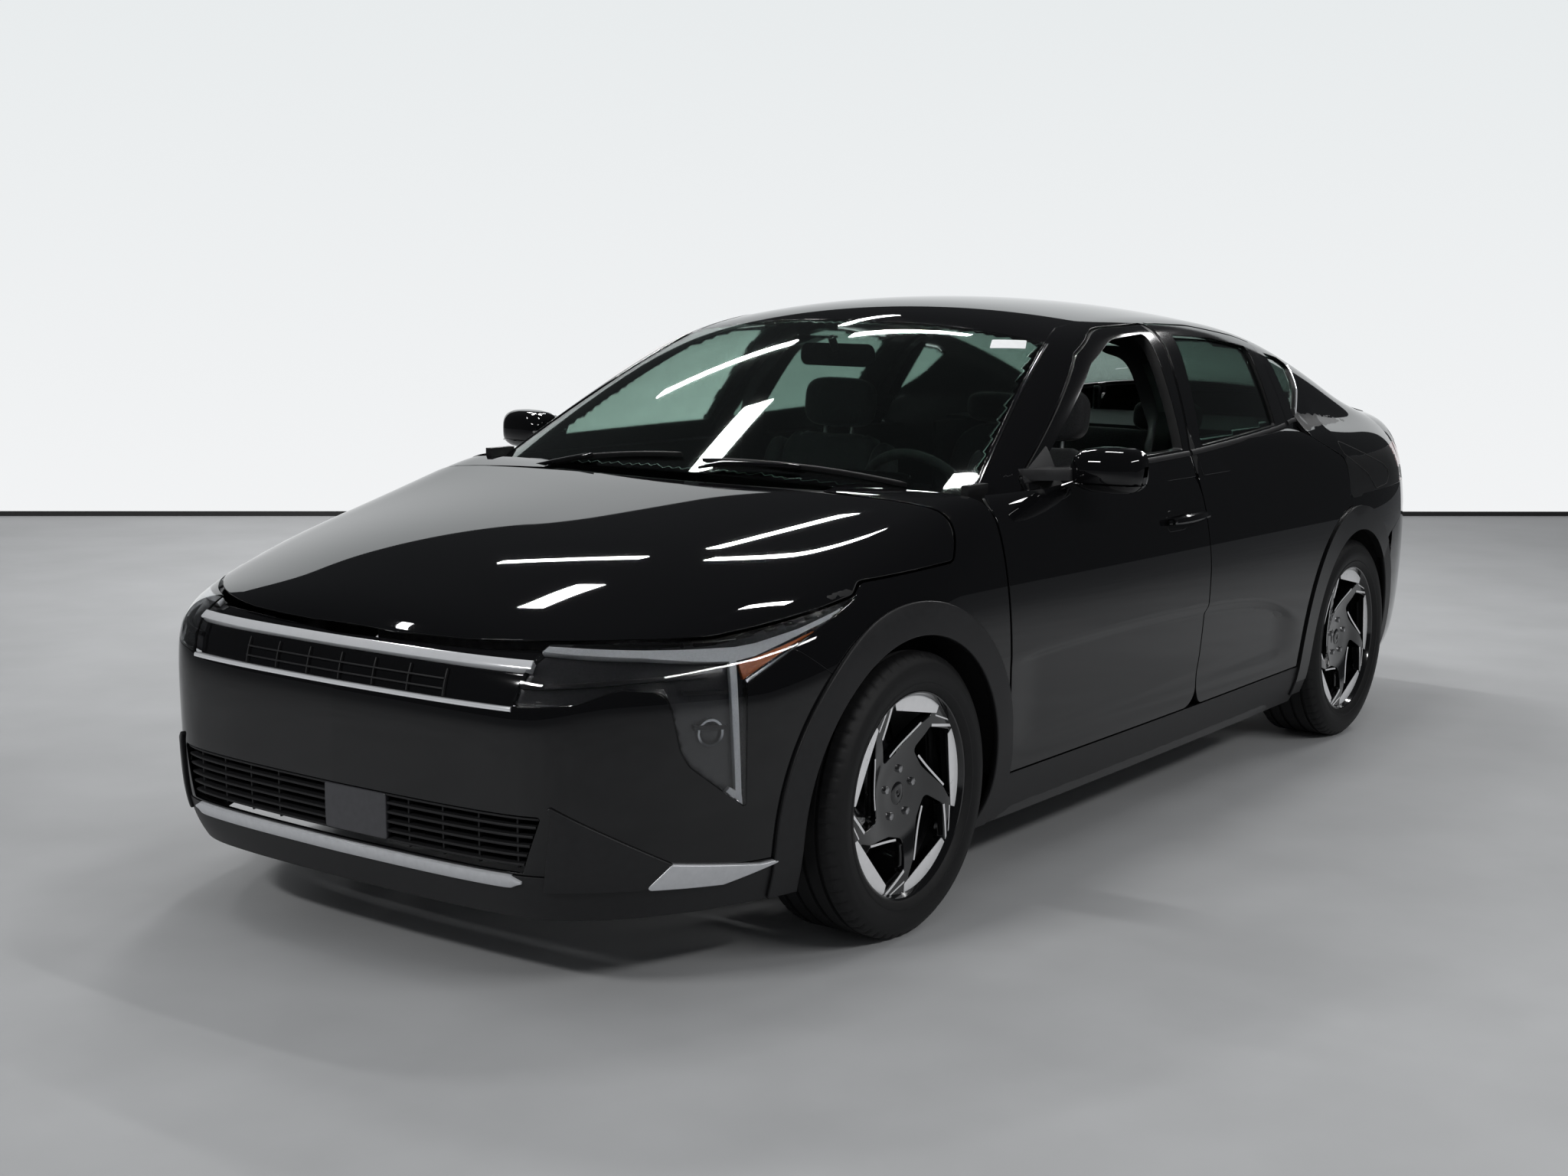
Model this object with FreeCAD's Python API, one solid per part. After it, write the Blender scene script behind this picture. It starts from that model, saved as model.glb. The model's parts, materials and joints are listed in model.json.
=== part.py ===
import FreeCAD, Part
import bisect
import math
import os

# Four-door sedan. X forward, Y to the car's left, Z up, all lengths in millimetres.
# The origin is on the ground, under the middle of the car.

V = FreeCAD.Vector

# Overall size
half_length = 2355.0
half_width = 916.0
roof_top = 1425.0

# Wheels and axles
wheelbase = 2720.0
front_axle_x = 1455.0
rear_axle_x = front_axle_x - wheelbase
tyre_radius = 325.0
tyre_width = 225.0
track_half = 790.0
rim_radius = 232.0
rim_flange = 6.0
spoke_count = 5
wheel_face = ((0, 40), (0, 66), (92, 66), (150, 80), (215, 86), (226, 84), (226, 58), (120, 38))
wheel_window = ((52, 94, 14), (101, 139, 8), (182, 119, 8), (205, -62, 8), (165.6, -11.3, 60), (88, 50, 18))
disc_radius = 140.0
disc_thickness = 22.0
spindle_radius = 15.0
lug_count = 5
lug_circle_radius = 57.15
lug_hole_radius = 6.5
hub_radius = 78.0

# Wheel arches
arch_radius = 362.0
valance_arch_radius = 380.0
flare_radius = 440.0
flare_joint_angle = math.radians(46.5)
rear_joint_angle = math.radians(138.5)
flare_height = 9.0
flare_depth = 17.0
rear_flare_depth = 24.0
liner_radius = 392.0
liner_thickness = 3.0
liner_places = ((front_axle_x, 500.0), (rear_axle_x, 600.0))

# Body skins and gaps
skin = 5.0
quarter_skin = 12.0
pillar_depth = 38.0
frame_depth = 26.0
glass = 5.0
glass_inset = 8.0
roof_depth = 32.0
roof_side_y = 556.0
lid_depth = 14.0
lamp_depth = 60.0
shut_gap = 5.0
frame_gap = 14.0
seat_gap = 0.3
pin_gap = 0.05

# Doors
door_depth = 95.0
door_skin = 8.0
door_edge = 16.0
door_bottom = 297.0
front_door_front = 1048.0
door_split = -60.0
pillar_face_y = 772.0
hinge_inset = 63.0
hinge_y = 876.0
hinge_pin_radius = 6.0
hinge_knuckle_radius = 11.0
hinge_height = 40.0
hinge_heights = (455.0, 790.0)

# Floor and inner structure
floor_bottom = 178.0
floor_thickness = 18.0
floor_half_width = 699.7
sill_inner_y = 700.0
sill_front = 1062.0
pillar_inner_y = 728.0
jack_x = 600.0
jack_z = 155.0
raised_floor_x = -480.0
raised_floor_z = 300.0
tunnel_half_width = 110.0
tunnel_height = 80.0
firewall_x = 1130.0
firewall_thickness = 15.0
firewall_top = 885.0
kick_up_x = -900.0
boot_floor_z = 330.0
rail_y = 430.0
rail_width = 70.0
rail_low = 400.0
rail_high = 500.0
tail_panel_x = -2200.0
shelf_z = 985.0

# Steering axis, low ball joint to strut top
ball_y = 700.0
ball_z = 190.0
strut_y = 590.0
strut_z = 780.0
ball_pin_radius = 9.0
strut_radius = 22.0
strut_pin_radius = 14.0
spindle_end = 800.0

# Hood and boot lid hinges
hood_axis_x = 1176.0
hood_axis_z = 918.0
hood_hinge_y = 680.0
hood_rear_x = 1240.0
lid_axis_x = -1845.0
lid_axis_z = 1076.0
lid_hinge_y = 350.0
lid_front_x = -1906.0
lid_neck = (
    (8, -5), (-14, -54), (-36, -54), (-80, -26), (-80, 16), (-58, 16), (-58, -18), (-30, -40), (-22, -40), (-9, 2))
lid_low_z = 758.0
lid_side_y = 596.0
tail_join_x = -2125.0

# Nose
lamp_angle = 42.0
valance_top = 268.0
wheel_y = 370.0


# Smooth curves and blends

def spline(points):
    """Natural cubic curve through (a, b) points, straight beyond its ends."""
    pts = sorted(points)
    a = [float(p[0]) for p in pts]
    b = [float(p[1]) for p in pts]
    n = len(a)
    h = [a[i + 1] - a[i] for i in range(n - 1)]
    up = [0.0] * n
    right = [0.0] * n
    for i in range(1, n - 1):
        bend = 6 * ((b[i + 1] - b[i]) / h[i] - (b[i] - b[i - 1]) / h[i - 1])
        pivot = 2 * (h[i - 1] + h[i]) - h[i - 1] * up[i - 1]
        up[i] = h[i] / pivot
        right[i] = (bend - h[i - 1] * right[i - 1]) / pivot
    m = [0.0] * n
    for i in range(n - 2, 0, -1):
        m[i] = right[i] - up[i] * m[i + 1]

    def value(q):
        c = min(max(q, a[0]), a[-1])
        i = min(max(bisect.bisect_right(a, c) - 1, 0), n - 2)
        d = c - a[i]
        first = (b[i + 1] - b[i]) / h[i] - h[i] * (2 * m[i] + m[i + 1]) / 6
        third = (m[i + 1] - m[i]) / (6 * h[i])
        here = b[i] + first * d + m[i] / 2 * d * d + third * d ** 3
        slope = first + m[i] * d + 3 * third * d * d
        return here + slope * (q - c)
    return value


def soft_max(a, b, k):
    """The larger value, rounded over a width k where the two meet."""
    h = max(k - abs(a - b), 0) / k
    return max(a, b) + h ** 3 * k / 6


def soft_step(t):
    """0 to 1 with no corner."""
    t = min(max(t, 0.0), 1.0)
    return t * t * t * (t * (6 * t - 15) + 10)


def clamp(t):
    return min(max(t, 0.0), 1.0)


# Shape of the body. Stations near an end are given from that end.
nose = half_length
tail = -half_length

# How far the side stands in from the half width, along the car
side_inset = spline([
    (nose + 95, 396), (nose - 55, 306), (nose - 205, 194), (nose - 355, 110), (nose - 555, 48),
    (nose - 727, 28), (front_axle_x, 18), (1200, 10), (900, 6), (500, 2), (0, 0), (-500, 2),
    (-900, 4), (rear_axle_x, 8), (tail + 805, 23), (tail + 555, 58), (tail + 355, 111),
    (tail + 205, 171), (tail + 55, 251), (tail - 95, 346)])
# How far the side leans in, by height
side_lean = spline([
    (120, 95), (180, 62), (240, 34), (320, 16), (420, 6), (560, 0), (700, 2), (800, 12),
    (880, 28), (950, 50), (1010, 74), (1060, 98), (1150, 150)])
# How far the nose and tail stand back from the ends, by height and across
nose_back = spline([
    (120, 85), (180, 37), (250, 9), (340, 1), (480, 0), (600, 3), (660, 17), (720, 43),
    (780, 80), (860, 140)])
nose_round = spline([(0, 0), (250, 6), (478, 27), (620, 62), (760, 125), (900, 215)])
tail_back = spline([
    (120, 155), (200, 93), (280, 45), (380, 7), (480, 0), (600, 7), (700, 30), (800, 45),
    (900, 49), (1000, 37), (1060, 23), (1120, 10)])
tail_round = spline([(0, 0), (250, 12), (500, 60), (700, 140), (850, 235)])
# Height of the hood, belt and deck on the middle line, and how they drop towards the sides
deck_z = spline([
    (nose + 65, 690), (nose - 55, 742), (nose - 205, 792), (nose - 355, 833), (nose - 555, 876),
    (nose - 755, 909), (1400, 938), (1200, 964), (1050, 975), (900, 972), (700, 984),
    (300, 1004), (0, 1018), (-400, 1030), (-930, 1046), (-1200, 1062), (-1500, 1085),
    (tail + 555, 1100), (tail + 355, 1096), (tail + 155, 1084), (tail + 25, 1072),
    (tail - 95, 1060)])
deck_drop = spline([
    (nose + 65, 150), (nose - 205, 135), (nose - 455, 112), (nose - 727, 80), (1300, 38),
    (1100, 14), (900, 0), (0, 0), (-900, 10), (-1300, 60), (tail + 655, 110),
    (tail + 355, 135), (tail + 55, 150)])
shoulder = spline([
    (nose + 45, 190), (nose - 655, 200), (1300, 170), (1000, 90), (700, 60), (0, 56),
    (-700, 60), (-1100, 120), (-1500, 190), (tail - 45, 190)])
door_crease = spline([(1100, 590), (800, 598), (500, 600), (0, 590), (-300, 572), (-560, 535), (-760, 470)])
crease_depth = 12.0
# Drop of the cabin's roof line below the roof top, and the half width of the glass at the belt
roof_drop = spline([
    (1330, 535), (1200, 465), (1000, 359), (800, 257), (600, 161), (450, 95), (330, 51),
    (200, 23), (0, 5), (-200, 0), (-450, 4), (-700, 19), (-1000, 59), (-1300, 129),
    (-1600, 220), (-1850, 307), (-2000, 361)])
cabin_inset = spline([
    (1300, 181), (1000, 131), (700, 98), (300, 74), (0, 68), (-400, 74), (-900, 110),
    (-1200, 148), (-1500, 188), (-1850, 236), (-2100, 276)])
roof_crown = 1.75e-4
belt_z = 1000.0


def tub(x, y, z):
    """Negative inside the lower body, positive outside."""
    y = abs(y)
    lean = side_lean(z)
    along = soft_step((x + 820) / 260) * soft_step((1120 - x) / 260)
    if along > 0:
        lean += crease_depth * along * soft_step((door_crease(x) - z) / 40) * soft_step((z - 300) / 110)
    side = y - (half_width - side_inset(x) - lean)
    front = x - (nose - nose_back(z) - nose_round(y))
    back = tail - x + tail_back(z) + tail_round(y)
    across = (y / 860) ** 2.4 if x > 0 else (y / 850) ** 2
    deck = z - (deck_z(x) - deck_drop(x) * across)
    ends = clamp((half_length - 25 - abs(x)) / 400)
    low = 0.45 if x > 0 else 0.2
    f = soft_max(soft_max(side, front, 150.0), back, 170.0)
    return soft_max(f, deck, shoulder(x) * (low + (1 - low) * ends))


def cabin(x, y, z):
    """Negative inside the cabin's glass and roof, positive outside."""
    y = abs(y)
    slope = (roof_drop(x + 5) - roof_drop(x - 5)) / 10
    roof = (z - (roof_top - roof_drop(x) - roof_crown * y * y)) / math.sqrt(1 + slope * slope)
    up = z - belt_z
    wide = half_width - cabin_inset(x) - 0.40 * up - 4.0e-4 * max(up, 0.0) ** 2
    return soft_max(roof, (y - wide) / 1.1, 105.0)


def body(x, y, z):
    """Lower body and cabin together, blended behind the doors."""
    k = clamp((-900 - x) / 300) * 110 + 2
    upper = max(cabin(x, y, z), belt_z - 70 - z)
    return -soft_max(-tub(x, y, z), -upper, k)


def reach(shape, start, way, far):
    """Point where a ray from inside the shape comes out."""
    near_t = 0.0
    far_t = far
    near_f = shape(*start)
    far_f = shape(*[start[i] + way[i] * far for i in range(3)])
    for turn in range(40):
        t = (near_t + far_t) / 2 if turn % 3 == 0 else (near_t * far_f - far_t * near_f) / (far_f - near_f)
        f = shape(*[start[i] + way[i] * t for i in range(3)])
        if abs(f) < 1e-4:
            break
        if f < 0:
            near_t, near_f = t, f
        else:
            far_t, far_f = t, f
    return V(*[start[i] + way[i] * t for i in range(3)])


def steps(a, b, count):
    return [a + (b - a) * i / (count - 1) for i in range(count)]


def grid(shape, us, vs, ray):
    """Rows of points on a shape; ray(u, v) gives a start inside it and a way out."""
    rows = []
    for u in us:
        row = []
        for v in vs:
            start, way = ray(u, v)
            row.append(reach(shape, start, way, 1300))
        rows.append(row)
    return rows


def side_ray(x, z):
    return (x, 300.0, z), (0, 1, 0)


def ring_ray(x, angle):
    a = math.radians(angle)
    return (x, 0, 560.0), (0, math.cos(a), math.sin(a))


def nose_ray(angle, z):
    a = math.radians(angle)
    return (1300.0, 0, z), (math.cos(a), math.sin(a), 0)


def tail_ray(angle, z):
    a = math.radians(angle)
    return (-1300.0, 0, z), (math.cos(a), math.sin(a), 0)


def top_ray(x, y):
    return (x, y, 700.0), (0, 0, 1)


def lid_ray(y, angle):
    a = math.radians(angle)
    return (-2050.0, y, 920.0), (math.cos(a), 0, math.sin(a))


def moved_out(shape, rows, distance):
    """The same rows, moved square to the shape's surface."""
    moved = []
    e = 0.5
    for row in rows:
        out = []
        for p in row:
            g = V(shape(p.x + e, p.y, p.z) - shape(p.x - e, p.y, p.z),
                  shape(p.x, p.y + e, p.z) - shape(p.x, p.y - e, p.z),
                  shape(p.x, p.y, p.z + e) - shape(p.x, p.y, p.z - e))
            out.append(p + g.normalize() * distance)
        moved.append(out)
    return moved


def between(upper, lower):
    """Closed solid between two matching grids of points."""
    faces = []
    borders = []
    for rows in (upper, lower):
        surface = Part.BSplineSurface()
        surface.interpolate(rows)
        faces.append(surface.toShape())
        u0, u1, v0, v1 = surface.bounds()
        borders.append([surface.uIso(u0), surface.uIso(u1), surface.vIso(v0), surface.vIso(v1)])
    for a, b in zip(borders[0], borders[1]):
        faces.append(Part.makeRuledSurface(a.toShape(), b.toShape()))
    shell = Part.makeShell(faces)
    shell.sewShape()
    solid = Part.makeSolid(shell)
    if solid.Volume < 0:
        solid.reverse()
    return solid


def plate(shape, us, vs, ray, thickness, proud=0.0):
    """Sheet of even thickness on a shape, standing proud of it by some height."""
    rows = grid(shape, us, vs, ray)
    return between(moved_out(shape, rows, proud) if proud else rows,
                   moved_out(shape, rows, proud - thickness))


def moved_by(rows, way):
    return [[p + way for p in row] for row in rows]


# Outlines and simple solids

def corner_wire(points, place):
    """Closed wire through corners (a, b, r) with round corners; place puts (a, b) in space."""
    n = len(points)
    ends = []
    for i in range(n):
        a0, b0 = points[i - 1][0], points[i - 1][1]
        a1, b1, r = points[i]
        a2, b2 = points[(i + 1) % n][0], points[(i + 1) % n][1]
        before = math.hypot(a0 - a1, b0 - b1)
        after = math.hypot(a2 - a1, b2 - b1)
        u = ((a0 - a1) / before, (b0 - b1) / before)
        w = ((a2 - a1) / after, (b2 - b1) / after)
        turn = math.pi - math.acos(max(-1.0, min(1.0, u[0] * w[0] + u[1] * w[1])))
        if r <= 0 or turn < 0.002:
            ends.append(((a1, b1), None, (a1, b1)))
            continue
        cut = min(r * math.tan(turn / 2), 0.47 * before, 0.47 * after)
        r = cut / math.tan(turn / 2)
        mid = (u[0] + w[0], u[1] + w[1])
        size = math.hypot(*mid)
        reach_mid = r / math.cos(turn / 2) - r
        on_arc = (a1 + mid[0] / size * reach_mid, b1 + mid[1] / size * reach_mid)
        ends.append(((a1 + u[0] * cut, b1 + u[1] * cut), on_arc, (a1 + w[0] * cut, b1 + w[1] * cut)))
    edges = []
    for i in range(n):
        start, on_arc, end = ends[i]
        if on_arc:
            edges.append(Part.Arc(place(*start), place(*on_arc), place(*end)).toShape())
        following = ends[(i + 1) % n][0]
        if math.hypot(following[0] - end[0], following[1] - end[1]) > 0.001:
            edges.append(Part.makeLine(place(*end), place(*following)))
    return Part.Wire(edges)


def side_prism(points, y0, y1):
    """Outline in side view (x, z, r), from y0 to y1."""
    return Part.Face(corner_wire(points, lambda a, b: V(a, y0, b))).extrude(V(0, y1 - y0, 0))


def top_prism(points, z0, z1):
    """Outline in top view (x, y, r), from z0 to z1."""
    return Part.Face(corner_wire(points, lambda a, b: V(a, b, z0))).extrude(V(0, 0, z1 - z0))


def front_prism(points, x0, x1):
    """Outline in front view (y, z, r), from x0 to x1."""
    return Part.Face(corner_wire(points, lambda a, b: V(x0, a, b))).extrude(V(x1 - x0, 0, 0))


def box(x0, x1, y0, y1, z0, z1):
    return Part.makeBox(x1 - x0, y1 - y0, z1 - z0, V(x0, y0, z0))


def rod(start, end, radius):
    way = V(*end) - V(*start)
    return Part.makeCylinder(radius, way.Length, V(*start), way)


def tube(start, end, outer, inner):
    return rod(start, end, outer).cut(rod(start, end, inner))


def cross_rod(x, z, y0, y1, radius):
    return Part.makeCylinder(radius, y1 - y0, V(x, y0, z), V(0, 1, 0))


def fuse(shapes):
    joined = shapes[0].multiFuse(shapes[1:]) if len(shapes) > 1 else shapes[0]
    return joined.removeSplitter()


def mirror(shape):
    return shape.mirror(V(0, 0, 0), V(0, 1, 0))


def solids(shape, smallest=5000.0):
    """Compound of the real solids, without crumbs that a cut can leave."""
    kept = [s for s in shape.Solids if s.Volume > smallest]
    return kept[0] if len(kept) == 1 else Part.makeCompound(kept)


# Outlines of the panels in side view

split_line = [(door_split + 35, door_bottom), (door_split + 10, 423), (door_split - 13, 697)]
hood_edge = [
    (1193, 962, 10), (1289, 839, 30), (1598, 821, 60), (1640, 797, 60), (1750, 777, 300),
    (1900, 754, 300), (2000, 741, 300), (2123, 738, 300), (2240, 732, 300), (2300, 722, 100),
    (nose - 15, 714, 0)]
belt_margin = 12.0


def belt_points(start, end):
    return [(x, deck_z(x) - belt_margin, 400) for x in steps(start, end, 5)]


def rounded(points, r):
    return [(p[0], p[1], r) for p in points]


front_low = (
    [(front_door_front - 22, door_bottom, 20), (front_door_front, 587, 900),
     (front_door_front + 22, 880, 300)]
    + belt_points(front_door_front + 26, door_split + 14)
    + rounded(list(reversed(split_line)), 400))
rear_low = (
    [(x - shut_gap, z, 400) for x, z in split_line]
    + belt_points(door_split + 14 - shut_gap, -893)
    + [(-1203, 920, 40), (-1203, door_bottom, 0)])
front_frame = [
    (850, 940, 0), (845, 988, 8), (330, 1277, 160), (120, 1342, 500), (-203, 1352, 10),
    (door_split + 17, 1000, 0), (door_split + 20, 940, 0)]
front_window = [
    (768, 1003, 10), (300, 1254, 120), (110, 1315, 400), (-118, 1328, 12), (-12, 1016, 10)]
rear_frame = [
    (door_split + 17 - frame_gap, 940, 0), (door_split + 17 - frame_gap, 1000, 0),
    (-203 - frame_gap, 1352, 10), (-500, 1344, 900), (-820, 1310, 900), (-930, 1288, 8),
    (-895, 1034, 0), (-870, 940, 0)]
rear_window = [
    (-134, 1019, 10), (-294, 1322, 12), (-560, 1312, 900), (-836, 1280, 12), (-774, 1046, 10)]
quarter_window = [
    (-955, 1064, 10), (-965, 1262, 12), (-1140, 1240, 25), (-1205, 1215, 15), (-1155, 1143, 200),
    (-1005, 1062, 15)]


def side_region(points, grow=0.0, y0=300.0, y1=1100.0):
    """Outline in side view, grown by a margin, as a block across the car's left side."""
    face = Part.Face(corner_wire(points, lambda a, b: V(a, y0, b)))
    if grow:
        face = face.makeOffset2D(grow)
    return face.extrude(V(0, y1 - y0, 0))


def arch_disc(x, radius, y0=300.0):
    return cross_rod(x, tyre_radius, y0, 1100, radius)


# Body panels

def turned_point(x, radius, angle):
    """Corner in side view at a radius and angle about a wheel's middle."""
    return (x + radius * math.cos(angle), tyre_radius + radius * math.sin(angle), 0)


def flare_joint(radius):
    """Point where the bumper meets the fender, at a radius from the front wheel's middle."""
    return turned_point(front_axle_x, radius, flare_joint_angle)


def rear_joint(radius):
    """Point where the rear bumper meets the body side, at a radius from the rear wheel's middle."""
    return turned_point(rear_axle_x, radius, rear_joint_angle)


def cabin_plate(x0, x1, depth, sink=0.0, low=24.0, high=60.0):
    count = max(6, int(abs(x1 - x0) / 75))
    return plate(cabin, steps(x0, x1, count), steps(low, high, 10), ring_ray, depth, -sink)


def flank_rows(x0, x1):
    """Grid on the lower body's side over a stretch of the car, finer at the crease."""
    zs = steps(150, 510, 8) + steps(540, 640, 5) + steps(690, 930, 6) + [958]
    return grid(tub, steps(x0, x1, max(6, int(abs(x1 - x0) / 85))), zs, side_ray)


def arch_panel(panel, band, x):
    """Panel with the raised band around a wheel arch."""
    ring = band.common(arch_disc(x, flare_radius)).cut(arch_disc(x, arch_radius))
    return fuse([panel.cut(arch_disc(x, flare_radius)), ring])


def make_fender():
    points = [(front_door_front - 22 + shut_gap, 240, 0),
              (front_door_front - 22 + shut_gap, door_bottom, 0),
              (front_door_front + shut_gap, 587, 900),
              (front_door_front + 22 + shut_gap, 880, 300),
              (front_door_front + 26 + shut_gap, 1000, 0),
              (hood_edge[0][0] - 13, 1000, 0)]
    points += [(x - shut_gap, z - shut_gap, r) for x, z, r in hood_edge[:3]]
    points += [(x, z - shut_gap, 0) for x, z, r in hood_edge[3:5]]
    points += [(1850, 760, 0), (1850, 708, 0), flare_joint(flare_radius), (front_axle_x, tyre_radius, 0),
               (front_axle_x, 240, 0)]
    region = side_region(points, 0, 700).cut(headlamp_block(0))
    panel = plate(tub, steps(1015, 1880, 13), steps(-26, 42, 17), ring_ray, skin)
    band = plate(tub, steps(1000, 1890, 13), steps(-26, 22, 12), ring_ray, flare_depth, flare_height)
    return arch_panel(panel.common(region), band.common(region), front_axle_x)


def windshield_outline(clear):
    side = [(345 + clear, 590 - clear, 12), (1010, 759 - clear, 20), (1052 - clear, 757 - clear, 30),
            (1080 - clear, 697, 200), (1150 - clear, 304, 1500)]
    other = [(x, -y, r) for x, y, r in reversed(side)]
    return side + [(1172 - clear, 0, 3000)] + other + [(393 + clear, 0, 2500)]


def rear_glass_outline(clear):
    side = [(-1000 - clear, 572 - clear, 20), (-1868 + clear, 560 - clear, 30)]
    other = [(x, -y, r) for x, y, r in reversed(side)]
    return side + [(-1878 + clear, 0, 3000)] + other + [(-1010 - clear, 0, 3000)]


def roof_outline(clear):
    side = [(345 - clear, 590 - clear, 5), (220, roof_side_y - clear, 60), (-880, roof_side_y - clear, 60),
            (-1000 + clear, 572 - clear, 5)]
    other = [(x, -y, r) for x, y, r in reversed(side)]
    return side + [(-1010 + clear, 0, 3000)] + other + [(393 - clear, 0, 2500)]


def outboard(grow=0.0):
    """Everything to the left of the windshield, the roof panel, the rear window and the lid."""
    line = [(1400, 757, 0), (1010, 759, 0), (345, 590, 0), (220, roof_side_y, 60), (-880, roof_side_y, 60),
            (-1000, 572, 0), (-1868, 560, 0), (-1873, lid_side_y, 0), (-2500, lid_side_y, 0)]
    line = [(x, y + grow, r) for x, y, r in line]
    return top_prism([(1400, 1100, 0)] + line + [(-2500, 1100, 0)], 100, 1500)


def tail_lamp_block(clear):
    """Block that cuts the tail lamp's shape out of the rear corner."""
    points = [(480, 905, 15), (480, 862, 8), (640, 838, 30), (800, 800, 25), (900, 800, 0), (900, 915, 0),
              (760, 930, 40)]
    face = Part.Face(corner_wire(points, lambda a, b: V(-2500, a, b)))
    if clear:
        face = face.makeOffset2D(-clear)
    return face.extrude(V(480, 0, 0))


def door_brackets(x):
    """Body half of each hinge: two lugs and the pin between them."""
    pieces = []
    for z in hinge_heights:
        half = hinge_height / 2
        for low in (z - half, z + half - 10):
            lug = rod((x, hinge_y, low), (x, hinge_y, low + 10), hinge_knuckle_radius)
            pieces.append(lug.fuse(box(x - 10, x + 10, pillar_face_y - 1, hinge_y, low, low + 10)))
        pieces.append(rod((x, hinge_y, z - half), (x, hinge_y, z + half), hinge_pin_radius))
    return pieces


def door_knuckles(x):
    """Door half of each hinge, bored for the pin."""
    pieces = []
    for z in hinge_heights:
        half = hinge_height / 2 - 10.5
        barrel = rod((x, hinge_y, z - half), (x, hinge_y, z + half), hinge_knuckle_radius)
        arm = box(x - 40, x, hinge_y - 9, hinge_y + 9, z - half, z + half)
        bore = rod((x, hinge_y, z - half - 1), (x, hinge_y, z + half + 1), hinge_pin_radius + pin_gap)
        pieces.append(barrel.fuse(arm).cut(bore))
    return pieces


def make_body_side():
    pillar_x = -1000.0
    upper = cabin_plate(1110, pillar_x, pillar_depth).common(side_region(
        [(1070, 950, 0), (1070, 1450, 0), (pillar_x, 1450, 0), (pillar_x, 950, 0)])).common(outboard())
    quarter_region = side_region(
        [(pillar_x, 240, 0), (pillar_x, 1450, 0), (tail_join_x, 1450, 0), (tail_join_x, 750, 0), (-2050, 735, 0),
         (-1640, 640, 0), rear_joint(flare_radius), (rear_axle_x, tyre_radius, 0), (rear_axle_x, 240, 0)])
    panel = plate(body, steps(pillar_x, -2140, 17), steps(-26, 62, 20), ring_ray, quarter_skin)
    band_region = side_region(
        [(-700, 240, 0), (-700, 1000, 0), (-1900, 1000, 0), rear_joint(900), (rear_axle_x, tyre_radius, 0),
         (rear_axle_x, 240, 0)])
    band = plate(body, steps(-790, -1740, 13), steps(-26, 22, 12), ring_ray, rear_flare_depth, flare_height)
    quarter = panel.common(quarter_region).common(outboard()).cut(arch_disc(rear_axle_x, flare_radius))
    ring = band.common(arch_disc(rear_axle_x, flare_radius)).cut(arch_disc(rear_axle_x, arch_radius))
    ring = ring.common(band_region)
    corner = plate(body, steps(114, 160, 12), steps(700, 1039, 9), tail_ray, quarter_skin)
    corner = corner.common(box(-2500, tail_join_x, 300, 1100, 750, 1038)).common(outboard())
    shell = fuse([upper, quarter, ring, corner])
    shell = shell.cut(side_region(front_low, shut_gap)).cut(side_region(front_frame, shut_gap))
    shell = shell.cut(side_region(rear_low, shut_gap).cut(arch_disc(rear_axle_x, flare_radius + shut_gap)))
    shell = shell.cut(side_region(rear_frame, shut_gap)).cut(side_region(quarter_window))
    shell = shell.cut(tail_lamp_block(0))
    rows = flank_rows(-950, 1150)
    rocker = between(rows, moved_by(rows, V(0, -110, 0))).common(side_region(
        [(-890, 165, 0), (-890, 291, 0), (front_door_front - 22, 291, 0),
         (front_door_front - 22, 239.7, 0), (sill_front, 239.7, 0), (sill_front, 165, 0)]))
    rocker = rocker.cut(arch_disc(rear_axle_x, arch_radius)).cut(arch_disc(front_axle_x, arch_radius))
    sill = box(-880, sill_front, sill_inner_y, 800, floor_bottom, 285)
    jack_pad = box(jack_x - 30, jack_x + 30, sill_inner_y + 5, sill_inner_y + 60, jack_z, floor_bottom + 5)
    front_pillar = box(front_door_front - 85, front_door_front + 10, sill_inner_y + 5, pillar_face_y, 270, 930)
    front_pillar = front_pillar.fuse(box(front_door_front - 85, front_door_front + 10, pillar_face_y - 10,
                                         pillar_face_y + 10, 900, 985))
    pillar = side_region(
        [(0, 270, 0), (-10, 700, 0), (-55, 1000, 0), (-175, 1370, 0), (-245, 1370, 0), (-160, 1000, 0),
         (-165, 270, 0)])
    low_pillar = pillar.common(box(-400, 100, sill_inner_y + 5, pillar_face_y, 270, 985))
    mid_pillar = pillar.common(box(-400, 100, sill_inner_y + 5, pillar_inner_y, 980, 1110))
    high_pillar = pillar.common(cabin_plate(150, -400, 40, frame_depth + 38)).common(
        box(-400, 100, 300, pillar_inner_y, 1000, 1290))
    top_pillar = pillar.common(cabin_plate(150, -400, 40, frame_depth + 8)).common(
        box(-400, 100, 300, 900, 1255, 1400))
    hinges = door_brackets(front_door_front - hinge_inset)
    hinges += door_brackets(door_split - 13 - shut_gap - hinge_inset)
    return solids(fuse([shell, rocker, sill, jack_pad, front_pillar, low_pillar, mid_pillar, high_pillar,
                        top_pillar] + hinges))


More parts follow.
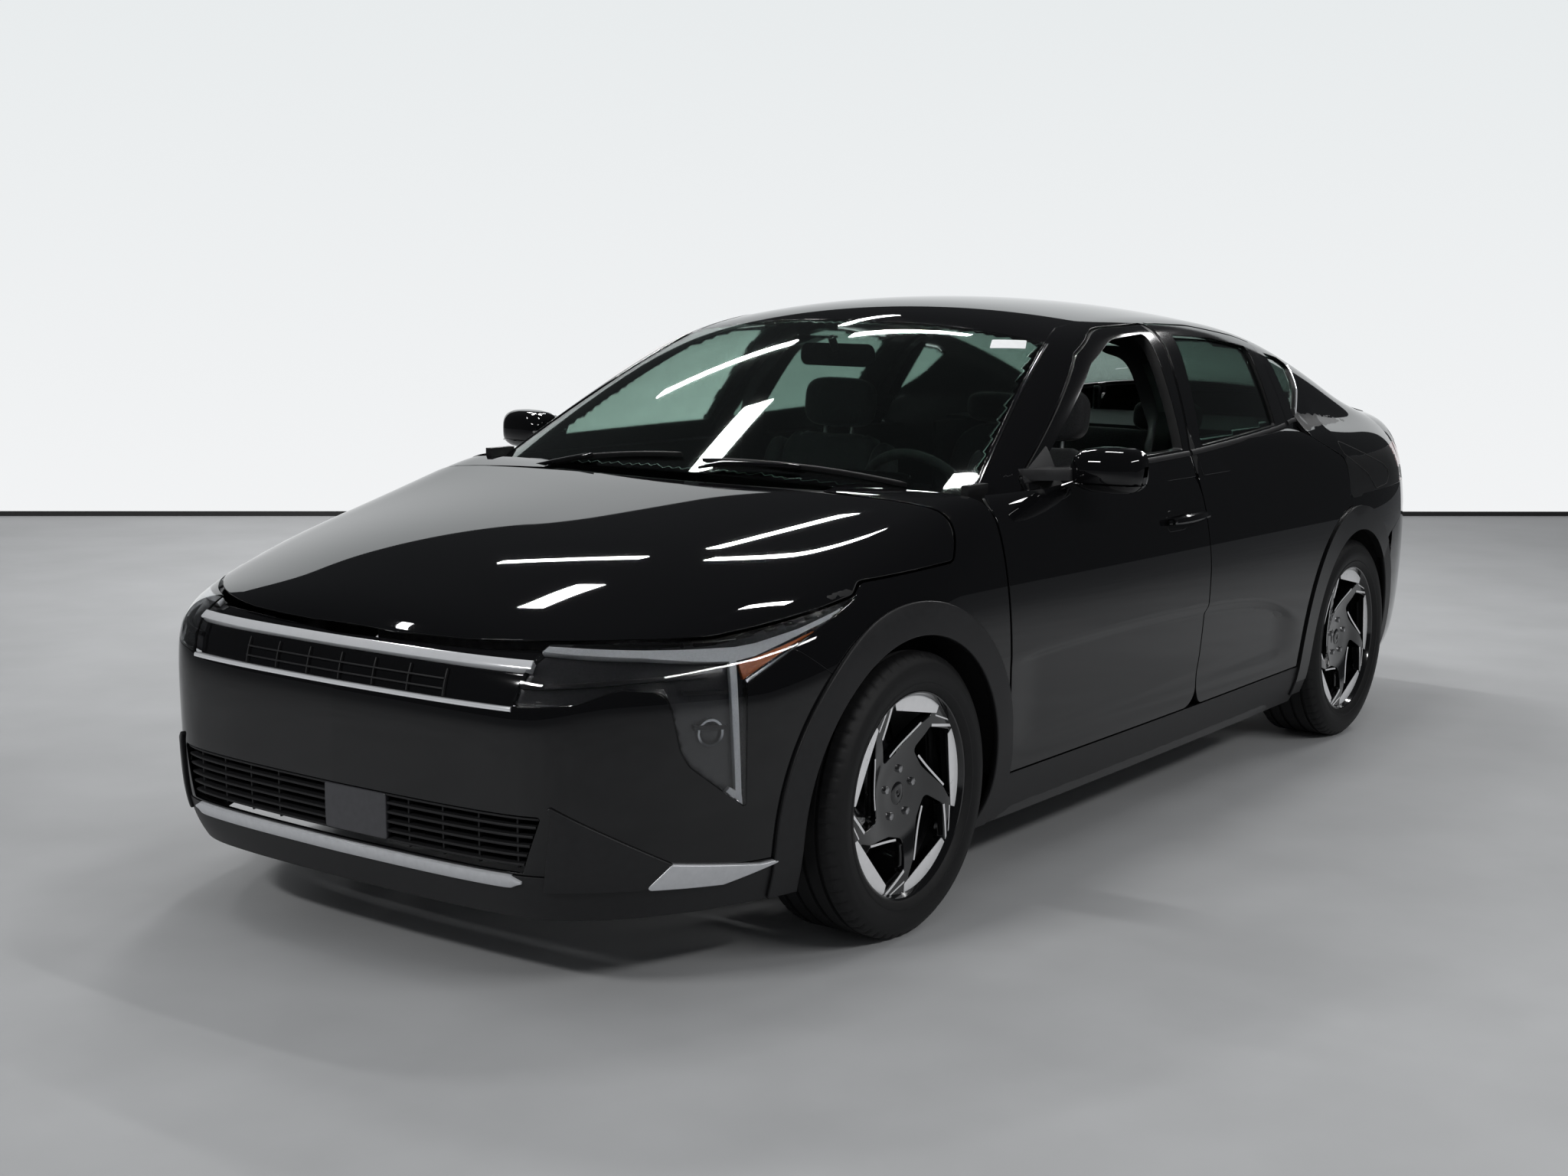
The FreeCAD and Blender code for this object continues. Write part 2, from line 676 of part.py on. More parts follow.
def make_door(low, frame, window, hinge_x, arch_cut=None):
    x_high = max(p[0] for p in low)
    x_low = min(p[0] for p in low)
    outer = flank_rows(x_low - 40, x_high + 40)
    region = side_region(low)
    if arch_cut:
        region = region.cut(arch_cut)
    thin = between(outer, moved_by(outer, V(0, -door_skin, 0)))
    thick = between(outer, moved_by(outer, V(0, -door_depth, 0)))
    inner = box(x_low + door_edge, hinge_x - 30, 300, 1100, door_bottom + door_edge, 1100)
    if arch_cut:
        inner = inner.cut(arch_disc(rear_axle_x, flare_radius + 2 * shut_gap + door_edge))
    core = thick.common(region.common(inner))
    edge = thin.common(region.cut(inner))
    top = cabin_plate(max(p[0] for p in frame) + 60, min(p[0] for p in frame) - 60, frame_depth)
    top = top.common(side_region(frame)).cut(side_region(window)).common(outboard(shut_gap + 1))
    top = top.cut(core)
    return fuse([core, edge, top] + door_knuckles(hinge_x))


def rear_door_arch():
    return arch_disc(rear_axle_x, flare_radius + 2 * shut_gap)


def make_door_glass(window):
    sheet = cabin_plate(max(p[0] for p in window) + 60, min(p[0] for p in window) - 60, glass, glass_inset)
    return sheet.common(side_region(window, -seat_gap))


# Hood and boot lid

def make_hood():
    panel = plate(tub, steps(1165, nose - 18, 18), steps(8, 172, 31), ring_ray, skin)
    front = hood_edge + [(nose + 100, 714, 0), (nose + 100, 1200, 0), (1193, 1200, 0)]
    rear = top_prism([(hood_rear_x, 0, 3000), (1193, 800, 0), (1150, 1000, 0), (2500, 1000, 0), (2500, -1000, 0),
                      (1150, -1000, 0), (1193, -800, 0)], 600, 1100)
    panel = panel.common(side_region(front, 0, -1100, 1100)).common(rear)
    rows = grid(tub, steps(1250, 1400, 5), steps(-800, 800, 17), top_ray)
    under = between(moved_by(rows, V(0, 0, -2)), moved_by(rows, V(0, 0, -200)))
    under = under.fuse(box(1000, 1252, -900, 900, 800, 940))
    arms = []
    for y in (hood_hinge_y, -hood_hinge_y):
        bar = box(hood_axis_x, hood_axis_x + 150, y - 6, y + 6, hood_axis_z - 8, hood_axis_z + 8)
        post = box(hood_axis_x + 100, hood_axis_x + 150, y - 6, y + 6, hood_axis_z - 8, 980)
        eye = cross_rod(hood_axis_x, hood_axis_z, y - 6, y + 6, 13)
        arm = fuse([bar, post, eye]).cut(cross_rod(hood_axis_x, hood_axis_z, y - 7, y + 7, 6 + pin_gap))
        arms.append(arm.common(under))
    return solids(fuse([panel] + arms), 50000)


def hood_brackets():
    pieces = []
    for y in (hood_hinge_y, -hood_hinge_y):
        for low, high in ((y - 14, y - 6.5), (y + 6.5, y + 14)):
            pieces.append(box(firewall_x, hood_axis_x + 12, low, high, firewall_top - 40, hood_axis_z))
            pieces.append(cross_rod(hood_axis_x, hood_axis_z, low, high, 12))
        pieces.append(cross_rod(hood_axis_x, hood_axis_z, y - 14, y + 14, 6))
    return pieces


def make_lid():
    panel = plate(body, steps(-600, 600, 15), steps(44, 216, 31), lid_ray, lid_depth)
    side = lid_side_y - shut_gap
    panel = panel.common(box(-2600, lid_front_x, -side, side, lid_low_z, 1300))
    arms = []
    for y in (lid_hinge_y, -lid_hinge_y):
        eye = cross_rod(lid_axis_x, lid_axis_z, y - 6, y + 6, 11)
        neck = side_prism([(lid_axis_x + a, lid_axis_z + b, 0) for a, b in lid_neck], y - 6, y + 6)
        arms.append(fuse([eye, neck]).cut(cross_rod(lid_axis_x, lid_axis_z, y - 7, y + 7, 5 + pin_gap)))
    return fuse([panel] + arms)


def lid_brackets():
    pieces = []
    for y in (lid_hinge_y, -lid_hinge_y):
        for low, high in ((y - 13, y - 6.5), (y + 6.5, y + 13)):
            pieces.append(box(lid_axis_x - 8, lid_axis_x + 8, low, high, shelf_z, lid_axis_z))
            pieces.append(cross_rod(lid_axis_x, lid_axis_z, low, high, 9))
        pieces.append(cross_rod(lid_axis_x, lid_axis_z, y - 13, y + 13, 5))
    return pieces


# Front and rear ends

def headlamp_block(clear):
    """Slanted block with the headlamp's outline, from its inner top corner outward and back below."""
    outline = [
        (2318, 486, 735, 0), (2123, 657, 745, 0), (1900, 803, 766, 0), (1750, 845, 785, 0),
        (1632, 850, 796, 0), (1640, 850, 789, 0), (1709, 847, 762, 60), (1856, 835, 706, 60),
        (1975, 811, 651, 8), (1971, 809, 388, 5), (2094, 755, 489, 40), (2112, 746, 521, 60),
        (2127, 736, 601, 60), (2138, 725, 642, 60), (2200, 665, 652, 60), (2269, 602, 622, 40),
        (2330, 470, 612, 0)]
    a = math.radians(lamp_angle)
    way = V(math.cos(a), math.sin(a), 0)
    across = V(-math.sin(a), math.cos(a), 0)
    flat = [(V(x, y, 0).dot(across), z, r) for x, y, z, r in outline]
    face = Part.Face(corner_wire(flat, lambda s, t: across * s + V(0, 0, t) + way * 1300))
    if clear:
        face = face.makeOffset2D(-clear)
    return face.extrude(way * 1400)


def nose_plate(depth, proud=0.0, low=165.0, high=735.0, wide=68.0):
    count = max(5, int((high - low) / 45))
    return plate(tub, steps(-wide, wide, int(wide / 2.4)), steps(low, high, count), nose_ray, depth, proud)


def below_hood():
    """Everything under the hood's front and side edge."""
    edge = [(x, z - shut_gap, r) for x, z, r in hood_edge]
    return side_region([(1193, 0, 0)] + edge[1:] + [(nose + 100, 709, 0), (nose + 100, 0, 0)], 0, -1100, 1100)


def grille_block(y_top, y_low, z_top, z_low, clear=0.0):
    points = [(-y_top + clear, z_top - clear, 6), (y_top - clear, z_top - clear, 6),
              (y_low - clear, z_low + clear, 6), (-y_low + clear, z_low + clear, 6)]
    return front_prism(points, 1900, 2600)


def upper_grille_block(clear):
    return grille_block(504, 480, 760, 606, clear)


def lower_grille_block(clear):
    return grille_block(545, 505, 392, 272, clear)


def nose_band(z0, z1, depth, proud, wide):
    """Bar across the nose between two heights."""
    return nose_plate(depth, proud, z0 - 30, z1 + 30, 30).common(box(1900, 2600, -wide, wide, z0, z1))


def make_front_bumper():
    panel = nose_plate(skin, 0, valance_top, 735).common(below_hood())
    flare = plate(tub, steps(1680, 1900, 7), steps(-26, 22, 11), ring_ray, flare_depth, flare_height)
    joint = flare_joint(flare_radius)
    far = flare_joint(900)
    above = side_region([(1300, 900, 0), (1850, 900, 0), (1850, 708, 0), joint, (front_axle_x, tyre_radius, 0),
                         (1300, tyre_radius, 0)])
    below = side_region([(front_axle_x, tyre_radius, 0), far, (2400, far[1], 0), (2400, valance_top, 0),
                         (front_axle_x, valance_top, 0)])
    disc = arch_disc(front_axle_x, flare_radius)
    ring = flare.common(disc).cut(arch_disc(front_axle_x, arch_radius)).common(below)
    for tool in (above, headlamp_block(0), disc):
        panel = panel.cut(tool).cut(mirror(tool))
    panel = panel.cut(upper_grille_block(0)).cut(lower_grille_block(0))
    return fuse([panel, ring, mirror(ring)])


def make_headlamps():
    a = math.radians(lamp_angle)
    rows = grid(tub, steps(18, 74, 15), steps(370, 800, 12), nose_ray)
    sheet = between(rows, moved_by(rows, V(-math.cos(a), -math.sin(a), 0) * lamp_depth))
    lamp = sheet.common(headlamp_block(seat_gap)).common(below_hood()).cut(upper_grille_block(0))
    lamp = solids(lamp)
    return Part.makeCompound([lamp, mirror(lamp)])


def make_upper_grille():
    edge = upper_grille_block(seat_gap)
    back = nose_plate(12, -16, 590, 735, 30)
    strips = [nose_band(z, z + 10, 34, 3, 520) for z in (607, 692)]
    posts = [nose_band(606, 709, 34, -4, 520).common(box(1900, 2600, y - 4, y + 4, 600, 720))
             for y in (-300, -100, 100, 300)]
    return fuse([back] + strips + posts).common(edge).common(below_hood())


def make_lower_grille():
    edge = lower_grille_block(seat_gap)
    shape = nose_plate(12, -40, 250, 420, 30).common(edge)
    for z in (296, 326, 356):
        shape = shape.fuse(nose_band(z, z + 8, 44, -3, 560).common(edge))
    return shape


def make_front_valance():
    panel = plate(tub, steps(-66, 66, 28), steps(165, 300, 5), nose_ray, 30)
    panel = panel.common(box(1700, 2500, -1100, 1100, 165, valance_top - seat_gap))
    arch = arch_disc(front_axle_x, valance_arch_radius)
    return panel.cut(arch).cut(mirror(arch))


def make_rear_bumper():
    panel = plate(body, steps(114, 246, 34), steps(165, 780, 15), tail_ray, 8)
    seam = [rear_joint(flare_radius), (-1640, 640, 0), (-2050, 735, 0), (tail_join_x, 750, 0), (-2500, 750, 0)]
    seam = [(x, z - seat_gap, r) for x, z, r in seam]
    low = [(rear_axle_x, 0, 0), (rear_axle_x, tyre_radius, 0)]
    region = side_region(low + seam + [(-2500, 0, 0)], 0, -1100, 1100)
    disc = arch_disc(rear_axle_x, flare_radius)
    panel = panel.common(region).cut(disc).cut(mirror(disc))
    band = plate(body, steps(-1490, -1740, 6), steps(-26, 12, 9), ring_ray, rear_flare_depth, flare_height)
    ring = band.common(disc).cut(arch_disc(rear_axle_x, arch_radius)).common(region)
    ring = ring.common(box(-2000, -1500, 300, 1100, 165, 800))
    return solids(fuse([panel, ring, mirror(ring)]))


def make_tail_lamps():
    rows = grid(body, steps(108, 164, 15), steps(770, 960, 7), tail_ray)
    lamp = between(rows, moved_by(rows, V(30, -26, 0))).common(tail_lamp_block(seat_gap))
    lamp = solids(lamp.common(box(-2600, -2030, lid_side_y, 1100, 700, 1000)))
    return Part.makeCompound([lamp, mirror(lamp)])


# Glass, roof and cowl

def top_rows(shape, x0, x1, wide):
    return grid(shape, steps(x0, x1, max(6, int(abs(x1 - x0) / 70))), steps(-wide, wide, 15), top_ray)


def make_windshield():
    rows = top_rows(cabin, 1190, 300, 790)
    sheet = between(rows, moved_out(cabin, rows, -glass))
    return sheet.common(top_prism(windshield_outline(seat_gap), 700, 1500))


def make_roof():
    rows = top_rows(cabin, 430, -1050, 640)
    sheet = between(rows, moved_out(cabin, rows, -roof_depth))
    return sheet.common(top_prism(roof_outline(seat_gap), 1000, 1500))


def make_rear_window():
    rows = top_rows(body, -960, -1900, 620)
    sheet = between(rows, moved_out(body, rows, -glass))
    return sheet.common(top_prism(rear_glass_outline(seat_gap), 900, 1500))


def make_quarter_glass():
    sheet = plate(body, steps(-900, -1260, 7), steps(22, 60, 8), ring_ray, glass, -glass_inset)
    pane = sheet.common(side_region(quarter_window, -seat_gap))
    return Part.makeCompound([pane, mirror(pane)])


def make_cowl():
    rows = grid(tub, steps(1030, 1260, 7), steps(-790, 790, 15), top_ray)
    block = between(moved_by(rows, V(0, 0, -14)), moved_by(rows, V(0, 0, -45)))
    points = [(1080, 697, 200), (1150, 304, 1500), (1172, 0, 3000), (1150, -304, 1500), (1080, -697, 200),
              (1188, -700, 0), (hood_rear_x - shut_gap, 0, 3000), (1188, 700, 0)]
    panel = block.common(top_prism(points, firewall_top, 1100))
    foot = box(firewall_x, firewall_x + firewall_thickness, -640, 640, firewall_top + seat_gap, 925)
    low = between(moved_by(rows, V(0, 0, -20)), moved_by(rows, V(0, 0, -200)))
    panel = fuse([panel, foot.common(low)])
    for y in (hood_hinge_y, -hood_hinge_y):
        panel = panel.cut(box(1120, 1300, y - 20, y + 20, 800, 1000))
    return solids(panel)


# Floor, carriers and running gear

def steering_axis(side):
    """Low and high point of the axis a front wheel is steered about."""
    return V(front_axle_x, side * ball_y, ball_z), V(front_axle_x, side * strut_y, strut_z)


def axis_rod(side, start, length, radius):
    """Cylinder along a steering axis, from a distance above its low point."""
    low, high = steering_axis(side)
    way = (high - low).normalize()
    return Part.makeCylinder(radius, length, low + way * start, way)


def sided(side, x0, x1, y0, y1, z0, z1):
    """Box given for the left side, or its mirror image on the right."""
    return box(x0, x1, min(side * y0, side * y1), max(side * y0, side * y1), z0, z1)


def make_underbody():
    w = floor_half_width
    t = tunnel_half_width
    floor_top = floor_bottom + floor_thickness
    boot_low = boot_floor_z - 12
    pieces = [
        box(raised_floor_x, firewall_x, -w, w, floor_bottom, floor_top),
        box(kick_up_x, raised_floor_x, -w, w, raised_floor_z - floor_thickness, raised_floor_z),
        box(raised_floor_x, raised_floor_x + 12, -w, w, floor_bottom, raised_floor_z),
        box(raised_floor_x, firewall_x, -t, t, floor_top, floor_bottom + tunnel_height),
        box(firewall_x, firewall_x + firewall_thickness, -w, w, floor_bottom, firewall_top),
        box(kick_up_x, kick_up_x + 15, -w, w, floor_bottom + 60, boot_floor_z),
        box(tail_panel_x, kick_up_x, -492, 492, boot_low, boot_floor_z),
        box(tail_panel_x - 12, tail_panel_x, -580, 580, boot_low, 740),
        box(-1860, -1080, -560, 560, shelf_z, shelf_z + 12),
        box(nose - 180, nose - 120, -540, 540, rail_low + 20, rail_high + 20)]
    frame = box(nose - 200, nose - 180, -600, 600, 300, 660)
    pieces.append(frame.cut(box(nose - 220, nose - 150, -500, 500, 340, 610)))
    for side in (1, -1):
        pieces += [
            sided(side, tail_panel_x, -880, 480, 492, boot_low, shelf_z),
            sided(side, firewall_x + 10, nose - 165, rail_y - rail_width, rail_y, rail_low, rail_high),
            sided(side, front_axle_x - 85, front_axle_x + 85, rail_y - 12, rail_y, rail_low, strut_z - 6)]
        top = sided(side, front_axle_x - 85, front_axle_x + 85, rail_y - 12, strut_y + 55, strut_z - 22, strut_z - 6)
        pieces.append(top.cut(axis_rod(side, 500, 200, strut_pin_radius + pin_gap)))
    floor = fuse(pieces + hood_brackets() + lid_brackets())
    half = liner_radius + liner_thickness + seat_gap
    for x, inner_y in liner_places:
        for side in (1, -1):
            floor = floor.cut(sided(side, x - half, x + half, inner_y - seat_gap, 1100, 0, tyre_radius + half))
    return floor


def make_subframe():
    x = front_axle_x
    pieces = [box(x - 130, x + 130, -360, 360, 205, 260)]
    for side in (1, -1):
        arm = top_prism([(x - 110, side * 350, 0), (x + 60, side * 350, 0), (x + 22, side * (ball_y + 18), 15),
                         (x - 22, side * (ball_y + 18), 15)], ball_z - 8, ball_z + 8)
        pieces += [arm, axis_rod(side, 0, 46, ball_pin_radius),
                   sided(side, x - 110, x + 60, 340, 360, ball_z - 8, 206),
                   sided(side, x - 130, x - 90, 320, 400, 205, rail_low - seat_gap)]
    return fuse(pieces)


def make_engine():
    x = front_axle_x
    pieces = [box(x + 60, x + 480, -300, 300, 300, 740), box(x - 60, x + 60, -300, 300, 280, 400)]
    for y in (-200, 140):
        pieces.append(box(x + 62, x + 125, y, y + 60, 260 + seat_gap, 300))
    for y in (300, -580):
        pieces.append(cross_rod(x, tyre_radius, y, y + 280, 13))
    return fuse(pieces)


def make_rear_axle():
    x = rear_axle_x
    pieces = [box(x + 120, x + 200, -560, 560, 240, 300)]
    for side in (1, -1):
        hub = sorted((side * 560, side * 700))
        end = sorted((side * 560, side * spindle_end))
        pieces += [sided(side, x - 60, kick_up_x - seat_gap, 530, 590, 250, 310),
                   cross_rod(x, tyre_radius, hub[0], hub[1], 45),
                   cross_rod(x, tyre_radius, end[0], end[1], spindle_radius),
                   rod((x - 40, side * 545, 300), (x - 60, side * 530, 640), 24)]
    return fuse(pieces)


def make_knuckle(side):
    x = front_axle_x
    end = sorted((side * 700, side * spindle_end))
    pin = axis_rod(side, 20, 595, strut_pin_radius).common(box(x - 100, x + 100, -900, 900, 500, strut_z + 10))
    shape = fuse([sided(side, x - 38, x + 38, 672, 715, 220, 430),
                  sided(side, x - 26, x + 26, 640, 700, 400, 480),
                  axis_rod(side, 20, 36, 24), axis_rod(side, 235, 300, strut_radius), pin,
                  cross_rod(x, tyre_radius, end[0], end[1], spindle_radius)])
    return shape.cut(axis_rod(side, 0, 50, ball_pin_radius + pin_gap))


def make_tyre(x, side):
    """Turned section of a low tyre, hollow towards the rim."""
    half = tyre_width / 2
    r = tyre_radius
    seat = rim_radius + rim_flange
    outline = [(-half + 14, seat, 0), (-half, r - 50, 0), (-half + 24, r, 0), (half - 24, r, 0), (half, r - 50, 0),
               (half - 14, seat, 0), (0, r - 24, 0)]
    y = side * track_half
    face = Part.Face(corner_wire(outline, lambda a, b: V(x, y + a, tyre_radius + b)))
    return face.revolve(V(x, y, tyre_radius), V(0, 1, 0), 360)


def across_wheel(x, side, inner, outer, radius):
    """Cylinder on the wheel's axis, between two distances outward from the wheel's middle."""
    ends = sorted((side * (track_half + inner), side * (track_half + outer)))
    return cross_rod(x, tyre_radius, ends[0], ends[1], radius)


def make_rim(x, side):
    """Wheel with its barrel, spokes, hub and brake disc."""
    centre = V(x, side * track_half, tyre_radius)
    half = tyre_width / 2 - 14
    barrel = across_wheel(x, side, -half, half, rim_radius + rim_flange).cut(
        across_wheel(x, side, -half - 1, half + 1, rim_radius - 12))
    face = Part.Face(corner_wire([(r, h, 0) for r, h in wheel_face],
                                 lambda a, b: V(x, side * (track_half + b), tyre_radius + a)))
    pieces = [barrel, face.revolve(centre, V(0, 1, 0), 360), across_wheel(x, side, -20, 60, hub_radius),
              across_wheel(x, side, -60, -60 + disc_thickness, disc_radius),
              across_wheel(x, side, -60, -10, 70)]
    wheel = fuse(pieces).cut(across_wheel(x, side, -80, spindle_end - track_half + 1, spindle_radius + pin_gap))
    wheel = wheel.cut(across_wheel(x, side, 62, 100, 30))
    for i in range(spoke_count):
        ends = sorted((side * (track_half + 20), side * (track_half + 100)))
        wire = corner_wire(wheel_window, lambda a, b: V(x - a, ends[0], tyre_radius + b))
        window = Part.Face(wire).extrude(V(0, ends[1] - ends[0], 0))
        window.rotate(centre, V(0, 1, 0), 360 / spoke_count * i)
        wheel = wheel.cut(window)
    for i in range(lug_count):
        hole = across_wheel(x, side, 40, 100, lug_hole_radius)
        hole.translate(V(0, 0, lug_circle_radius))
        hole.rotate(centre, V(0, 1, 0), 360 / lug_count * (i + 0.5))
        wheel = wheel.cut(hole)
    return wheel


def make_liners():
    pieces = []
    skins = ((tub, flare_depth - flare_height), (body, rear_flare_depth - flare_height))
    for (x, inner_y), (shape, depth) in zip(liner_places, skins):
        rows = grid(shape, steps(x - 450, x + 430, 12), steps(-26, 22, 10), ring_ray)
        inside = between(moved_out(shape, rows, -depth - seat_gap), moved_by(rows, V(0, -500, 0)))
        ring = tube((x, inner_y, tyre_radius), (x, 1000, tyre_radius), liner_radius + liner_thickness, liner_radius)
        ring = ring.common(inside).common(box(x - 500, x + 500, 400, 1000, raised_floor_z + seat_gap, 900))
        ring = ring.cut(axis_rod(1, 0, 700, 45))
        pieces += [ring, mirror(ring)]
    return Part.makeCompound(pieces)


def make_exhaust():
    muffler = box(-1980, -1640, -220, 220, 205, 285)
    straps = [box(x, x + 20, -10, 10, 285, boot_floor_z - 12 - seat_gap) for x in (-1940, -1700)]
    pipe = rod((-1645, 0, 245), (-1400, 0, 245), 24)
    drop = rod((-1400, 0, 245), (-1150, 0, 158), 20)
    front = rod((-1150, 0, 156), (1150, 0, 156), 18)
    return fuse([muffler] + straps + [pipe, drop, front])


def make_fuel_tank():
    return box(-850, raised_floor_x - 30, -430, 430, 180, raised_floor_z - floor_thickness - seat_gap)


# Cabin

def make_dashboard():
    w = floor_half_width - 3
    x = firewall_x - seat_gap
    top = side_region([(x, 560, 0), (x, 870, 0), (1080, 892, 30), (860, 900, 40), (800, 860, 30),
                       (830, 700, 40), (900, 600, 30), (980, 560, 0)], 0, -w, w)
    console = box(250, 900, -105, 105, floor_bottom + tunnel_height + seat_gap, 560)
    return fuse([top, console, box(820, 1000, -105, 105, 500, 640)])


def make_steering_wheel(dashboard):
    tilt = math.radians(24)
    centre = V(600, wheel_y, 850)
    way = V(-math.cos(tilt), 0, math.sin(tilt))
    turned = FreeCAD.Placement(centre, FreeCAD.Rotation(V(0, 0, 1), way))
    pieces = [Part.makeTorus(178, 14, centre, way), Part.makeCylinder(50, 40, centre - way * 40, way),
              Part.makeCylinder(26, 330, centre - way * 360, way)]
    for angle in (0, 180, 270):
        spoke = Part.makeBox(150, 26, 12, V(30, -13, -18))
        spoke.rotate(V(0, 0, 0), V(0, 0, 1), angle)
        spoke.Placement = turned.multiply(spoke.Placement)
        pieces.append(spoke)
    return fuse(pieces).cut(dashboard)


def front_seat(x, y, width):
    cushion = side_region([(x + 20, 300, 20), (x + 520, 300, 30), (x + 530, 430, 60), (x + 480, 455, 60),
                           (x + 60, 425, 40)], 0, y - width / 2, y + width / 2)
    back = side_region([(x + 70, 400, 30), (x + 100, 470, 60), (x - 40, 990, 60), (x - 130, 985, 50),
                        (x - 60, 420, 40)], 0, y - width / 2 + 10, y + width / 2 - 10)
    head = side_region([(x - 70, 1010, 30), (x - 75, 1150, 40), (x - 150, 1160, 40), (x - 160, 1020, 30)],
                       0, y - 130, y + 130)
    posts = [rod((x - 100, y + d, 960), (x - 115, y + d, 1060), 7) for d in (-50, 50)]
    base = box(x + 60, x + 460, y - width / 2 + 60, y + width / 2 - 60,
               floor_bottom + floor_thickness + seat_gap, 320)
    return fuse([cushion, back, head, base] + posts)


def make_rear_seat():
    low = raised_floor_z + seat_gap
    cushion = side_region([(-870, low, 0), (-480, low, 0), (-430, 330, 30), (-400, 420, 50), (-450, 455, 50),
                           (-860, 420, 30)], 0, -640, 640)
    back = side_region([(-850, 400, 0), (-800, 440, 60), (-990, 975, 60), (-1070, 975, 30), (-878, 400, 0)],
                       0, -470, 470)
    pieces = [cushion, back]
    for y in (-320, 320):
        pieces.append(side_region([(-990, 990, 20), (-1010, 1085, 40), (-1060, 1085, 30), (-1075, 990, 20)],
                                  0, y - 120, y + 120))
        pieces += [rod((-1030, y + d, 950), (-1035, y + d, 1020), 7) for d in (-50, 50)]
    return fuse(pieces)


def make_mirror():
    head = side_region([(600, 945, 40), (760, 948, 50), (750, 1060, 60), (600, 1080, 30)], 0, 880, 1060)
    head = head.common(top_prism([(610, 875, 10), (640, 1058, 30), (700, 1052, 60), (765, 960, 60), (770, 875, 20)],
                                 900, 1100))
    arm = box(700, 800, 700, 890, 990, 1012)
    air = plate(cabin, steps(640, 900, 5), steps(24, 34, 5), ring_ray, 160, 160 + seat_gap)
    return solids(fuse([head, arm.common(air)]))


# One file for each piece

def save(shape, name):
    shape.exportStep("parts/" + name + ".step")
    print(name, len(shape.Solids), shape.isValid(), round(shape.Volume / 1e6, 2), flush=True)


os.makedirs("parts", exist_ok=True)

front_hinge_x = front_door_front - hinge_inset
rear_hinge_x = door_split - 13 - shut_gap - hinge_inset
dashboard = make_dashboard()
front_door = make_door(front_low, front_frame, front_window, front_hinge_x)
rear_door = make_door(rear_low, rear_frame, rear_window, rear_hinge_x, rear_door_arch())
left_pieces = {
    "body_side": make_body_side(),
    "fender": make_fender(),
    "front_door": front_door,
    "rear_door": rear_door,
    "front_glass": make_door_glass(front_window),
    "rear_glass": make_door_glass(rear_window),
    "door_mirror": make_mirror(),
    "knuckle": make_knuckle(1),
    "front_tyre": make_tyre(front_axle_x, 1),
    "rear_tyre": make_tyre(rear_axle_x, 1),
    "front_rim": make_rim(front_axle_x, 1),
    "rear_rim": make_rim(rear_axle_x, 1)}
for name, shape in left_pieces.items():
    if name != "front_glass":
        save(shape, name + "_left")
    save(mirror(shape), name + "_right")

single_pieces = {
    "underbody": make_underbody(),
    "roof_panel": make_roof(),
    "hood": make_hood(),
    "trunk_lid": make_lid(),
    "front_bumper": make_front_bumper(),
    "rear_bumper": make_rear_bumper(),
    "upper_grille": make_upper_grille(),
    "lower_grille": make_lower_grille(),
    "front_valance": make_front_valance(),
    "headlamps": make_headlamps(),
    "tail_lamps": make_tail_lamps(),
    "windshield": make_windshield(),
    "rear_window": make_rear_window(),
    "quarter_glass": make_quarter_glass(),
    "cowl_panel": make_cowl(),
    "arch_liners": make_liners(),
    "engine": make_engine(),
    "front_subframe": make_subframe(),
    "rear_axle": make_rear_axle(),
    "exhaust": make_exhaust(),
    "fuel_tank": make_fuel_tank(),
    "dashboard": dashboard,
    "steering_wheel": make_steering_wheel(dashboard),
    "front_seats": Part.makeCompound([front_seat(20, wheel_y, 500), front_seat(20, -wheel_y, 500)]),
    "rear_seat": make_rear_seat()}
for name, shape in single_pieces.items():
    save(shape, name)
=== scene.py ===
import json
import math
import bmesh
import bpy
import numpy as np
from mathutils import Matrix, Vector, geometry, kdtree


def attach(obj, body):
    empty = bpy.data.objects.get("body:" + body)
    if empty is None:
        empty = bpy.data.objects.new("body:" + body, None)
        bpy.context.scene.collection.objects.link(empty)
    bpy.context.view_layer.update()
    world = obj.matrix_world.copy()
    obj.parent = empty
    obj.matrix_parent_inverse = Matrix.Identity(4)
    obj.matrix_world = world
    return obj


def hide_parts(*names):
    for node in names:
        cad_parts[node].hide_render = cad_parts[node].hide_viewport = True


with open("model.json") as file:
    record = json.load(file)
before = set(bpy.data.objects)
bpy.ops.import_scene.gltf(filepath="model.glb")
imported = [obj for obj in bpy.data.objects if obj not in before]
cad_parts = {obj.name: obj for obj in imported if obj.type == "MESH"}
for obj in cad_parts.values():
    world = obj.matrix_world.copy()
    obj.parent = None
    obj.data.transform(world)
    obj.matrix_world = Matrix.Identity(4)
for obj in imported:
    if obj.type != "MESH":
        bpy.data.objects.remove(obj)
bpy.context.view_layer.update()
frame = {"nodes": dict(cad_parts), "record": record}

# Four-door sedan. The body's surface is worked out in millimetres, X forward, Y to the left, Z up.
MM = 0.001

